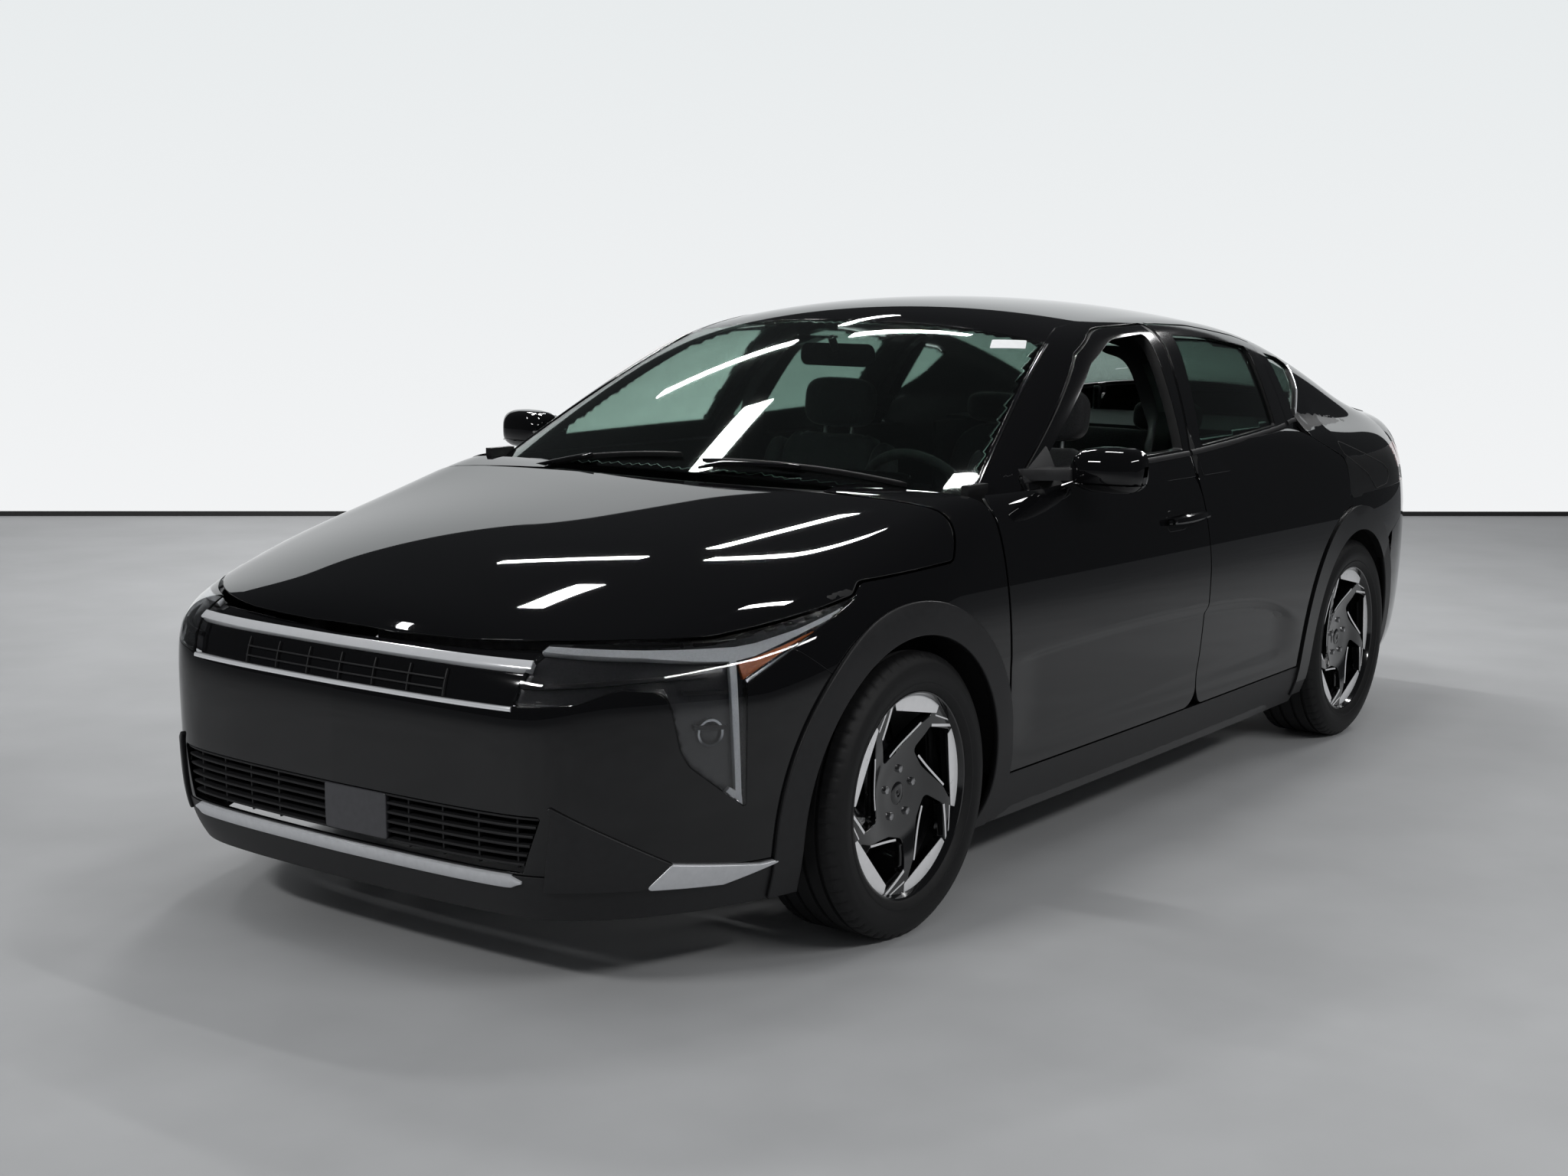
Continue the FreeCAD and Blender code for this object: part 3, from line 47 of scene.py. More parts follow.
# Driving sizes
half_length = 2355.0
half_width = 916.0
roof_top = 1425.0
front_axle_x = 1455.0
rear_axle_x = -1265.0
tyre_radius = 325.0
tyre_width = 225.0
track_half = 790.0
arch_radius = 362.0
flare_radius = 440.0
flare_height = 9.0
shut_gap = 5.0
lamp_angle = 42.0
valance_top = 268.0
belt_z = 1000.0
nose = half_length
tail = -half_length
sill_low = 166.0
lid_front = -1906.0
lid_half = 591.0
lid_gap_y = 596.0
lid_low = 758.0
lid_arm_y = 350.0
notch = 16.0
rail_low = 952.0
rocker_front = 1061.0
valance_arch = 380.0
face_radius = 229.0
nut_circle = 57.15
mirror_x = 678.0
mirror_z = 1010.0

# How far the skins stand out of the solid model, and how far the panes lie in it
panel_proud = 0.8
raised_proud = 1.6
door_proud = 2.2
bumper_proud = -0.6
glass_back = 8.0

# Steps of the skins' meshes
fine = 9.0
wide_step = 13.0
wheel_step = 7.0
pane_step = 18.0
window_count = 180


# Surface of the body, as in the solid model
def spline(points):
    """Natural cubic curve through (a, b) points, straight beyond its ends."""
    pts = np.array(sorted(points), float)
    a, b = pts[:, 0], pts[:, 1]
    n = len(a)
    h = np.diff(a)
    rows = np.zeros((n, n))
    right = np.zeros(n)
    rows[0, 0] = rows[-1, -1] = 1
    for i in range(1, n - 1):
        rows[i, i - 1:i + 2] = h[i - 1], 2 * (h[i - 1] + h[i]), h[i]
        right[i] = 6 * ((b[i + 1] - b[i]) / h[i] - (b[i] - b[i - 1]) / h[i - 1])
    m = np.linalg.solve(rows, right)

    def value(q):
        c = np.clip(q, a[0], a[-1])
        i = np.clip(np.searchsorted(a, c, side="right") - 1, 0, n - 2)
        d = c - a[i]
        first = (b[i + 1] - b[i]) / h[i] - h[i] * (2 * m[i] + m[i + 1]) / 6
        third = (m[i + 1] - m[i]) / (6 * h[i])
        here = b[i] + first * d + m[i] / 2 * d * d + third * d ** 3
        return here + (first + m[i] * d + 3 * third * d * d) * (q - c)
    return value


def soft_max(a, b, k):
    h = np.maximum(k - np.abs(a - b), 0) / k
    return np.maximum(a, b) + h ** 3 * k / 6


def soft_step(t):
    t = np.clip(t, 0, 1)
    return t * t * t * (t * (6 * t - 15) + 10)


side_inset = spline([
    (nose + 95, 396), (nose - 55, 306), (nose - 205, 194), (nose - 355, 110), (nose - 555, 48),
    (nose - 727, 28), (front_axle_x, 18), (1200, 10), (900, 6), (500, 2), (0, 0), (-500, 2),
    (-900, 4), (rear_axle_x, 8), (tail + 805, 23), (tail + 555, 58), (tail + 355, 111),
    (tail + 205, 171), (tail + 55, 251), (tail - 95, 346)])
side_lean = spline([
    (120, 95), (180, 62), (240, 34), (320, 16), (420, 6), (560, 0), (700, 2), (800, 12),
    (880, 28), (950, 50), (1010, 74), (1060, 98), (1150, 150)])
nose_back = spline([
    (120, 85), (180, 37), (250, 9), (340, 1), (480, 0), (600, 3), (660, 17), (720, 43),
    (780, 80), (860, 140)])
nose_round = spline([(0, 0), (250, 6), (478, 27), (620, 62), (760, 125), (900, 215)])
tail_back = spline([
    (120, 155), (200, 93), (280, 45), (380, 7), (480, 0), (600, 7), (700, 30), (800, 45),
    (900, 49), (1000, 37), (1060, 23), (1120, 10)])
tail_round = spline([(0, 0), (250, 12), (500, 60), (700, 140), (850, 235)])
deck_z = spline([
    (nose + 65, 690), (nose - 55, 742), (nose - 205, 792), (nose - 355, 833), (nose - 555, 876),
    (nose - 755, 909), (1400, 938), (1200, 964), (1050, 975), (900, 972), (700, 984),
    (300, 1004), (0, 1018), (-400, 1030), (-930, 1046), (-1200, 1062), (-1500, 1085),
    (tail + 555, 1100), (tail + 355, 1096), (tail + 155, 1084), (tail + 25, 1072),
    (tail - 95, 1060)])
deck_drop = spline([
    (nose + 65, 150), (nose - 205, 135), (nose - 455, 112), (nose - 727, 80), (1300, 38),
    (1100, 14), (900, 0), (0, 0), (-900, 10), (-1300, 60), (tail + 655, 110),
    (tail + 355, 135), (tail + 55, 150)])
shoulder = spline([
    (nose + 45, 190), (nose - 655, 200), (1300, 170), (1000, 90), (700, 60), (0, 56),
    (-700, 60), (-1100, 120), (-1500, 190), (tail - 45, 190)])
door_crease = spline([(1100, 590), (800, 598), (500, 600), (0, 590), (-300, 572), (-560, 535), (-760, 470)])
roof_drop = spline([
    (1330, 535), (1200, 465), (1000, 359), (800, 257), (600, 161), (450, 95), (330, 51),
    (200, 23), (0, 5), (-200, 0), (-450, 4), (-700, 19), (-1000, 59), (-1300, 129),
    (-1600, 220), (-1850, 307), (-2000, 361)])
cabin_inset = spline([
    (1300, 181), (1000, 131), (700, 98), (300, 74), (0, 68), (-400, 74), (-900, 110),
    (-1200, 148), (-1500, 188), (-1850, 236), (-2100, 276)])


def tub(x, y, z):
    """Negative inside the lower body, positive outside."""
    y = np.abs(y)
    along = soft_step((x + 820) / 260) * soft_step((1120 - x) / 260)
    scallop = 12 * along * soft_step((door_crease(x) - z) / 40) * soft_step((z - 300) / 110)
    side = y - (half_width - side_inset(x) - side_lean(z) - scallop)
    front = x - (nose - nose_back(z) - nose_round(y))
    back = tail - x + tail_back(z) + tail_round(y)
    across = np.where(x > 0, (y / 860) ** 2.4, (y / 850) ** 2)
    deck = z - (deck_z(x) - deck_drop(x) * across)
    ends = np.clip((half_length - 25 - np.abs(x)) / 400, 0, 1)
    low = np.where(x > 0, 0.45, 0.2)
    f = soft_max(soft_max(side, front, 150.0), back, 170.0)
    return soft_max(f, deck, shoulder(x) * (low + (1 - low) * ends))


def cabin(x, y, z):
    """Negative inside the cabin's glass and roof, positive outside."""
    y = np.abs(y)
    slope = (roof_drop(x + 5) - roof_drop(x - 5)) / 10
    roof = (z - (roof_top - roof_drop(x) - 1.75e-4 * y * y)) / np.sqrt(1 + slope * slope)
    up = z - belt_z
    wide = half_width - cabin_inset(x) - 0.40 * up - 4.0e-4 * np.maximum(up, 0) ** 2
    return soft_max(roof, (y - wide) / 1.1, 105.0)


def whole(x, y, z):
    """Lower body and cabin together, blended behind the doors."""
    k = np.clip((-900 - x) / 300, 0, 1) * 110 + 2
    upper = np.maximum(cabin(x, y, z), belt_z - 70 - z)
    return -soft_max(-tub(x, y, z), -upper, k)


def reach(shape, start, way, far=1300.0):
    """Points where rays from inside a shape come out; nan for a ray that starts outside."""
    start = np.asarray(start, float)
    way = np.asarray(way, float)
    near = np.zeros(len(start))
    end = np.full(len(start), far)
    for _ in range(34):
        t = (near + end) / 2
        p = start + way * t[:, None]
        inside = shape(p[:, 0], p[:, 1], p[:, 2]) < 0
        near = np.where(inside, t, near)
        end = np.where(inside, end, t)
    p = start + way * near[:, None]
    p[shape(start[:, 0], start[:, 1], start[:, 2]) > 0] = np.nan
    return p


def normal_at(shape, p):
    """Unit vectors square to a shape's surface."""
    e = 0.5
    x, y, z = p[:, 0], p[:, 1], p[:, 2]
    g = np.stack([shape(x + e, y, z) - shape(x - e, y, z), shape(x, y + e, z) - shape(x, y - e, z),
                  shape(x, y, z + e) - shape(x, y, z - e)], 1)
    return g / np.linalg.norm(g, axis=1)[:, None]


# Ways of looking at the surface: rays for flat places (u, v), and the flat place of a point
def across(a, b, c):
    return np.stack(np.broadcast_arrays(*[np.asarray(v, float) for v in (a, b, c)]), -1)


ring_scale = 15.0
nose_scale = 17.0
lid_scale = 6.0
ring_height = 560.0
end_middle = 1300.0
lid_eye_x = -2050.0
lid_eye_z = 920.0


def ring_rays(u, v):
    a = np.radians(v / ring_scale)
    return across(u, 0, ring_height), across(0, np.cos(a), np.sin(a))


def ring_flat(p):
    return p[:, 0], np.degrees(np.arctan2(p[:, 2] - ring_height, p[:, 1])) * ring_scale


def end_rays(sign):
    def rays(u, v):
        a = np.radians(u / nose_scale)
        return across(sign * end_middle, 0, v), across(sign * np.cos(a), np.sin(a), 0)
    return rays


def end_flat(sign):
    def flat(p):
        return np.degrees(np.arctan2(p[:, 1], sign * p[:, 0] - end_middle)) * nose_scale, p[:, 2]
    return flat


def lid_rays(u, v):
    a = np.radians(v / lid_scale)
    return across(lid_eye_x, u, lid_eye_z), across(np.cos(a), 0, np.sin(a))


def lid_flat(p):
    a = np.degrees(np.arctan2(p[:, 2] - lid_eye_z, p[:, 0] - lid_eye_x))
    return p[:, 1], np.where(a < -60, a + 360, a) * lid_scale


views = {
    "side": (lambda u, v: (across(u, 300, v), across(0, 1, 0)), lambda p: (p[:, 0], p[:, 2])),
    "top": (lambda u, v: (across(u, v, 700), across(0, 0, 1)), lambda p: (p[:, 0], p[:, 1])),
    "front": (lambda u, v: (across(end_middle, u, v), across(1, 0, 0)), lambda p: (p[:, 1], p[:, 2])),
    "rear": (lambda u, v: (across(-end_middle, u, v), across(-1, 0, 0)), lambda p: (p[:, 1], p[:, 2])),
    "ring": (ring_rays, ring_flat),
    "nose": (end_rays(1), end_flat(1)),
    "tail": (end_rays(-1), end_flat(-1)),
    "lid": (lid_rays, lid_flat)}
slant_x, slant_y = math.cos(math.radians(lamp_angle)), math.sin(math.radians(lamp_angle))
slant_start = 1000
views["slant"] = (
    lambda u, v: (across(-slant_y * u + slant_x * slant_start, slant_x * u + slant_y * slant_start, v),
                  across(slant_x, slant_y, 0)),
    lambda p: (-slant_y * p[:, 0] + slant_x * p[:, 1], p[:, 2]))


# Lines with round corners, circles, and what lies inside them
def arc_corners(points, step=6.0):
    """Closed line through corners (a, b, r) with round corners, as close points."""
    pts = [(p[0], p[1], p[2] if len(p) > 2 else 0) for p in points]
    n = len(pts)
    line = []
    for i in range(n):
        p0, p1, p2 = [np.array(pts[j][:2]) for j in (i - 1, i, (i + 1) % n)]
        r = pts[i][2]
        before, after = np.linalg.norm(p0 - p1), np.linalg.norm(p2 - p1)
        u, w = (p0 - p1) / before, (p2 - p1) / after
        turn = math.pi - math.acos(max(-1, min(1, float(u @ w))))
        if r <= 0 or turn < 0.002:
            line.append(p1)
            continue
        cut = min(r * math.tan(turn / 2), 0.47 * before, 0.47 * after)
        r = cut / math.tan(turn / 2)
        mid = (u + w) / np.linalg.norm(u + w)
        centre = p1 + mid * r / math.cos(turn / 2)
        a0, a1 = p1 + u * cut - centre, p1 + w * cut - centre
        count = max(3, int(turn * r / step) + 1)
        start = math.atan2(a0[1], a0[0])
        sweep = (math.atan2(a1[1], a1[0]) - start + math.pi) % (2 * math.pi) - math.pi
        for k in range(count + 1):
            a = start + sweep * k / count
            line.append(centre + r * np.array([math.cos(a), math.sin(a)]))
    dense = []
    for i, p in enumerate(line):
        q = line[(i + 1) % len(line)]
        count = max(1, int(np.linalg.norm(q - p) / step))
        dense += [p + (q - p) * k / count for k in range(count)]
    return np.array(dense)


def circle(x, z, radius, count=360):
    a = np.linspace(0, 2 * math.pi, count, endpoint=False)
    return np.stack([x + radius * np.cos(a), z + radius * np.sin(a)], 1)


def inside(line, a, b):
    """Which of the points (a, b) lie inside a closed line."""
    a = np.asarray(a)[:, None]
    b = np.asarray(b)[:, None]
    x0, y0 = line[:, 0][None], line[:, 1][None]
    x1, y1 = np.roll(line[:, 0], -1)[None], np.roll(line[:, 1], -1)[None]
    crosses = (y0 > b) != (y1 > b)
    with np.errstate(divide="ignore", invalid="ignore"):
        left = a < (x1 - x0) * (b - y0) / (y1 - y0) + x0
    return (np.sum(crosses & left, 1) % 2).astype(bool)


# Materials: each colour, roughness and bump comes from nodes
def set_inputs(node, **values):
    for key, value in values.items():
        node.inputs[key.replace("_", " ")].default_value = value


def new_node(tree, kind, **values):
    """Shader node with some of its inputs set."""
    node = tree.nodes.new("ShaderNode" + kind)
    set_inputs(node, **values)
    return node


def link(tree, start, out, end, into):
    tree.links.new(start.outputs[out], end.inputs[into])


def raised_by(tree, height, out, strength, distance):
    """Bump on a material's surface from a node's output."""
    bump = new_node(tree, "Bump", Strength=strength, Distance=distance)
    link(tree, height, out, bump, "Height")
    link(tree, bump, "Normal", tree.nodes["Principled BSDF"], "Normal")


def material(name, colour, rough, metallic=0.0, coat=0.0, vary=0.12, grain=60.0, bump=0.0, bump_scale=400.0,
             **extra):
    """Principled material with a mottled colour, uneven roughness and an optional fine bump."""
    rough_vary = 0.06
    mat = bpy.data.materials.new(name)
    mat.use_nodes = True
    tree = mat.node_tree
    shader = tree.nodes["Principled BSDF"]
    place = new_node(tree, "TexCoord")
    noise = new_node(tree, "TexNoise", Scale=grain, Detail=5.0)
    link(tree, place, "Object", noise, "Vector")
    ramp = new_node(tree, "ValToRGB")
    low, high = ramp.color_ramp.elements
    low.position = 0.3
    high.position = 0.7
    low.color = [c * (1 - vary) for c in colour] + [1]
    high.color = [min(1, c * (1 + vary)) for c in colour] + [1]
    link(tree, noise, "Fac", ramp, "Fac")
    link(tree, ramp, "Color", shader, "Base Color")
    spread = new_node(tree, "MapRange", To_Min=max(0.0, rough - rough_vary * rough),
                      To_Max=min(1.0, rough + rough_vary * rough))
    link(tree, noise, "Fac", spread, "Value")
    link(tree, spread, "Result", shader, "Roughness")
    set_inputs(shader, Metallic=metallic, Coat_Weight=coat, Coat_Roughness=0.02, **extra)
    if bump:
        fine_noise = new_node(tree, "TexNoise", Scale=bump_scale, Detail=3.0)
        link(tree, place, "Object", fine_noise, "Vector")
        raised_by(tree, fine_noise, "Fac", bump, 0.001)
    return mat


def glass_material(name, tint):
    mat = material(name, tint, 0.02, vary=0.03, grain=8.0, IOR=1.45)
    set_inputs(mat.node_tree.nodes["Principled BSDF"], Transmission_Weight=1.0)
    return mat


paint = material("gloss black paint", (0.0036, 0.0036, 0.0041), 0.6, coat=1.0, vary=0.2, grain=900.0,
                 Specular_IOR_Level=0.0)
jamb_paint = material("black jamb paint", (0.004, 0.004, 0.0045), 0.4, coat=0.3, vary=0.2)
satin = material("dark satin plastic", (0.013, 0.013, 0.014), 0.46, bump=0.12, bump_scale=1500.0,
                 Specular_IOR_Level=0.35)
gloss_trim = material("gloss black trim", (0.004, 0.004, 0.0045), 0.09, vary=0.2, grain=300.0)
black_plastic = material("black plastic", (0.008, 0.008, 0.009), 0.55, bump=0.15, bump_scale=1200.0)
rubber = material("tyre rubber", (0.009, 0.009, 0.0095), 0.55, bump=0.25, bump_scale=900.0,
                  Specular_IOR_Level=0.25)
seal = material("rubber seal", (0.006, 0.006, 0.006), 0.7, bump=0.1, bump_scale=900.0)
chrome = material("bright chrome", (0.86, 0.87, 0.89), 0.14, metallic=0.35, vary=0.02, coat=0.6)
silver = material("satin silver", (0.62, 0.63, 0.65), 0.34, metallic=0.4, vary=0.05, bump=0.04,
    bump_scale=1800.0)
machined = material("machined alloy", (0.86, 0.86, 0.87), 0.28, metallic=0.25, vary=0.03, bump=0.05,
    bump_scale=1600.0)
wheel_black = material("gloss black alloy", (0.005, 0.005, 0.0055), 0.12, coat=0.8, vary=0.2, grain=500.0)
cast = material("cast metal", (0.30, 0.30, 0.31), 0.5, metallic=0.9, vary=0.2, grain=30.0, bump=0.4,
    bump_scale=350.0)
steel = material("brushed steel", (0.50, 0.50, 0.51), 0.3, metallic=1.0, vary=0.12, grain=120.0, bump=0.1,
                 bump_scale=900.0)
chassis = material("coated steel", (0.015, 0.015, 0.017), 0.6, vary=0.3, grain=25.0, bump=0.2,
    bump_scale=500.0)
exhaust_steel = material("heat-tinted steel", (0.20, 0.18, 0.16), 0.42, metallic=0.9, vary=0.35, grain=9.0)
cabin_plastic = material("grained cabin plastic", (0.016, 0.016, 0.018), 0.6, vary=0.2, bump=0.35,
    bump_scale=1400.0)
soft_black = material("soft dark padding", (0.022, 0.022, 0.024), 0.75, vary=0.25, bump=0.3,
    bump_scale=1000.0)
amber = material("amber reflector", (0.55, 0.14, 0.03), 0.22, vary=0.25, grain=400.0, bump=0.4,
    bump_scale=700.0)
red_lens = material("red lens", (0.22, 0.008, 0.010), 0.10, coat=0.6, vary=0.15, grain=500.0)
light_pipe = material("pale light pipe", (0.84, 0.86, 0.89), 0.16, vary=0.08, grain=300.0, coat=0.5)
dark_bezel = material("dark lamp bezel", (0.035, 0.035, 0.038), 0.25, vary=0.15, grain=200.0)
reflector = material("lamp reflector", (0.55, 0.56, 0.58), 0.12, metallic=1.0, vary=0.05)
belt_glass = glass_material("green tinted glass", (0.60, 0.74, 0.68))
dark_glass = glass_material("darker tinted glass", (0.30, 0.40, 0.36))
lens_glass = glass_material("clear lens", (0.88, 0.89, 0.90))
sticker_white = material("blank white sticker", (0.75, 0.76, 0.76), 0.5, vary=0.03)
grey_blank = material("plain grey insert", (0.05, 0.05, 0.055), 0.35, vary=0.1)


def weave_material(name, colour, other):
    """Woven cloth: crossing threads from two bands of waves."""
    mat = material(name, colour, 0.85, vary=0.25, grain=250.0, Sheen_Weight=0.3, Sheen_Roughness=0.4)
    tree = mat.node_tree
    threads = 150.0
    waves = []
    for way in ("X", "Z"):
        wave = new_node(tree, "TexWave", Scale=threads, Distortion=0.4)
        wave.bands_direction = way
        link(tree, tree.nodes["Texture Coordinate"], "Object", wave, "Vector")
        waves.append(wave)
    both = new_node(tree, "Math")
    both.operation = "MAXIMUM"
    for k, wave in enumerate(waves):
        link(tree, wave, "Fac", both, k)
    raised_by(tree, both, "Value", 0.5, 0.0006)
    tree.nodes["Color Ramp"].color_ramp.elements[1].color = list(other) + [1]
    return mat


seat_cloth = weave_material("dark seat cloth", (0.018, 0.018, 0.020), (0.034, 0.034, 0.037))

# Slot of each material; a piece looks its slot up here unless it names another, but the slot is not stored
# on the piece.
slot_members = {
    "body_paint": (paint,), "window_glass": (belt_glass, dark_glass, sticker_white),
    "black_plastic": (black_plastic, gloss_trim, seal, grey_blank), "dark_satin": (satin, silver),
    "lamp_lens": (lens_glass, light_pipe, amber, dark_bezel, reflector), "tail_lens": (red_lens,),
    "wheel_alloy": (wheel_black, machined, chrome), "cast_metal": (cast,), "tyre_rubber": (rubber,),
    "cabin_plastic": (cabin_plastic, soft_black), "seat_fabric": (seat_cloth, steel)}
usual_slot = {mat.name: slot for slot, members in slot_members.items() for mat in members}
to_right = np.array([1, -1, 1])


# Making pieces
def piece(name, mat, verts, faces, normals=None, body="car_body", slot=None, replaces=()):
    """Mesh object from points in millimetres, riding on a body."""
    mesh = bpy.data.meshes.new(name)
    mesh.from_pydata((np.asarray(verts, float) * MM).tolist(), [], faces)
    mesh.polygons.foreach_set("use_smooth", np.ones(len(mesh.polygons), bool))
    mesh.update()
    mesh.validate(clean_customdata=False)
    if normals is not None:
        mesh.normals_split_custom_set_from_vertices(np.asarray(normals).tolist())
    obj = bpy.data.objects.new(name, mesh)
    bpy.context.scene.collection.objects.link(obj)
    mesh.materials.append(mat)
    slot = slot or usual_slot[mat.name]
    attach(obj, body)
    if replaces:
        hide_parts(*replaces)
    return obj


def other_side(text):
    return text.replace("left", "right")


def add(name, mat, built, body="car_body", slot=None, replaces=(), bevel=0.0):
    """Piece from a skin or a solid; one named left is mirrored on the right as well.

    A solid has points and faces, and its edges are rounded when a bevel is given; a skin brings its normals
    too.
    """
    verts, faces = np.asarray(built[0], float), built[1]
    normals = built[2] if len(built) == 3 else None
    made = [piece(name, mat, verts, faces, normals, body, slot, replaces)]
    if "left" in name:
        made.append(piece(
            other_side(name), mat, verts * to_right, [f[::-1] for f in faces],
            None if normals is None else normals * to_right, other_side(body), slot,
            [other_side(r) for r in replaces]))
    if len(built) == 2:
        for obj in made:
            tidy(obj, bevel)


def triangles(place, lines, kept, area, spacing):
    """Triangles over a flat area: lines are borders to follow, kept tells which places belong."""
    pts, edges = [], []
    margin = spacing
    for line, closed in lines:
        good = (np.isfinite(line).all(1) & (line[:, 0] > area[0] - margin) & (line[:, 0] < area[1] + margin)
                & (line[:, 1] > area[2] - margin) & (line[:, 1] < area[3] + margin))
        base = len(pts)
        index = np.cumsum(good) - 1
        pts += line[good].tolist()
        count = len(line)
        for i in range(count if closed else count - 1):
            j = (i + 1) % count
            if good[i] and good[j]:
                edges.append((base + int(index[i]), base + int(index[j])))
    us = np.arange(area[0], area[1], spacing)
    vs = np.arange(area[2], area[3], spacing * 0.866)
    grid = np.array([(u + (spacing / 2 if k % 2 else 0), v) for k, v in enumerate(vs) for u in us])
    tree = kdtree.KDTree(len(pts))
    for i, p in enumerate(pts):
        tree.insert((p[0], p[1], 0), i)
    tree.balance()
    grid = grid[kept(grid, place(grid)[0])]
    grid = [p for p in grid.tolist() if tree.find((p[0], p[1], 0))[2] > spacing * 0.55]
    flat, _, faces, _, _, _ = geometry.delaunay_2d_cdt([Vector(p) for p in pts + grid], edges, [], 0, 1e-4)
    flat = np.array([(p.x, p.y) for p in flat])
    points, normals = place(flat)
    tri = np.array([f[:] for f in faces if len(f) == 3])
    mid_flat = flat[tri].mean(1)
    good = np.isfinite(points[tri]).all((1, 2))
    good &= kept(mid_flat, np.nan_to_num(place(mid_flat)[0], nan=1e6))
    side_a = flat[tri[:, 1]] - flat[tri[:, 0]]
    side_b = flat[tri[:, 2]] - flat[tri[:, 0]]
    good &= np.abs(side_a[:, 0] * side_b[:, 1] - side_a[:, 1] * side_b[:, 0]) > 0.02
    tri = tri[good]
    used = np.unique(tri)
    back = np.full(len(flat), -1)
    back[used] = np.arange(len(used))
    return points[used], normals[used], back[tri]


def shell(points, normals, tri, proud, depth, roll):
    """Closed shell with rolled borders over a triangulated sheet."""
    a, b, c = points[tri[:, 0]], points[tri[:, 1]], points[tri[:, 2]]
    wrong = np.einsum("ij,ij->i", np.cross(b - a, c - a), normals[tri[:, 0]]) < 0
    tri[wrong] = tri[wrong][:, ::-1]
    half = {}
    for f in tri.tolist():
        for i in range(3):
            half[(f[i], f[(i + 1) % 3])] = f[(i + 2) % 3]
    border = [(i, j, k) for (i, j), k in half.items() if (j, i) not in half]
    out = np.zeros_like(points)
    for i, j, k in border:
        way = points[j] - points[i]
        size = np.linalg.norm(way)
        if size < 1e-6:
            continue
        side = np.cross(way / size, (normals[i] + normals[j]) / 2)
        out[i] += side
        out[j] += side
    rim = np.unique([i for i, _, _ in border] + [j for _, j, _ in border])
    size = np.linalg.norm(out[rim], axis=1)
    e = out[rim] / np.maximum(size, 1e-6)[:, None]
    stretch = np.clip(2 / np.maximum(size, 0.8), 1, 1.5)[:, None]
    n = normals[rim]
    p = points[rim] + proud * n
    top = points + proud * normals
    top[rim] = p - roll * e * stretch
    rows = [p - 0.3 * roll * e * stretch - 0.3 * roll * n, p - roll * n]
    under = points + (proud - depth) * normals
    count = len(points)
    m = len(rim)
    where = np.full(count, -1)
    where[rim] = np.arange(m)
    verts = np.vstack([top] + rows + [under])
    norms = np.vstack([normals, (n + e) / np.sqrt(2), e, -normals])
    low = count + 2 * m
    norms[low + rim] = (e - n) / np.sqrt(2)
    faces = tri.tolist() + [[low + k for k in f[::-1]] for f in tri.tolist()]
    for i, j, _ in border:
        a, b = int(where[i]), int(where[j])
        levels = [(i, j), (count + a, count + b), (count + m + a, count + m + b), (low + i, low + j)]
        for (i0, j0), (i1, j1) in zip(levels, levels[1:]):
            faces.append([j0, i0, i1, j1])
    return verts, faces, norms


def on_shape(shape, view):
    rays, _ = views[view]

    def place(flat):
        start, way = rays(flat[:, 0], flat[:, 1])
        p = reach(shape, start, way)
        return p, normal_at(shape, np.nan_to_num(p, nan=1.0))
    return place


def traced(shape, view, line_view, line, closed=True, both=False):
    """Lines on a shape, seen in one view and given as flat places of another."""
    start, way = views[line_view][0](line[:, 0], line[:, 1])
    p = reach(shape, start, way)
    lines = [(np.stack(views[view][1](p), 1), closed)]
    if both:
        lines.append((np.stack(views[view][1](p * to_right), 1), closed))
    return lines


def within(line_view, line, p):
    """Whether points, or their mirror images on the left, lie inside a line seen in a view."""
    u, v = views[line_view][1](np.stack([p[:, 0], np.abs(p[:, 1]), p[:, 2]], 1))
    return inside(line, u, v)


def skin(shape, view, area, keep, cut=(), rule=None, lines=(), proud=0.0, depth=4.0,
         spacing=wide_step, roll=1.0, both=False):
    """Shell on a shape inside the keep outlines and outside the cut outlines."""
    followed = list(lines)
    for line_view, line in list(keep) + list(cut):
        followed += traced(shape, view, line_view, line, True, both)

    def kept(flat, p):
        good = np.isfinite(p).all(1)
        p = np.nan_to_num(p, nan=1e6)
        for line_view, line in keep:
            good &= within(line_view, line, p)
        for line_view, line in cut:
            good &= ~within(line_view, line, p)
        if rule:
            good &= rule(p)
        return good
    points, normals, tri = triangles(on_shape(shape, view), followed, kept, area, spacing)
    return shell(points, normals, tri, proud, depth, roll)


def straight(view_line, step=6.0):
    """Open line through corners, as close points."""
    dense = []
    pts = np.array(view_line, float)
    for p, q in zip(pts, pts[1:]):
        count = max(1, int(np.linalg.norm(q - p) / step))
        dense += [p + (q - p) * k / count for k in range(count)]
    return np.array(dense + [pts[-1]])


def offset_line(line, grow):
    """Closed line moved outward in its plane."""
    ahead = np.roll(line, -1, 0) - np.roll(line, 1, 0)
    ahead /= np.linalg.norm(ahead, axis=1)[:, None]
    area = np.sum(line[:, 0] * np.roll(line[:, 1], -1) - np.roll(line[:, 0], -1) * line[:, 1])
    side = np.stack([ahead[:, 1], -ahead[:, 0]], 1) * (1 if area > 0 else -1)
    return line + side * grow


def net(rows, count, closed=False, back=False):
    """Faces between rows of points, where each row is a ring; closed joins the last row to the first."""
    faces = []
    for i in range(rows if closed else rows - 1):
        a, b = i * count, (i + 1) % rows * count
        for k in range(count):
            q = (k + 1) % count
            faces.append([a + k, a + q, b + q, b + k] if back else [a + k, b + k, b + q, a + q])
    return faces


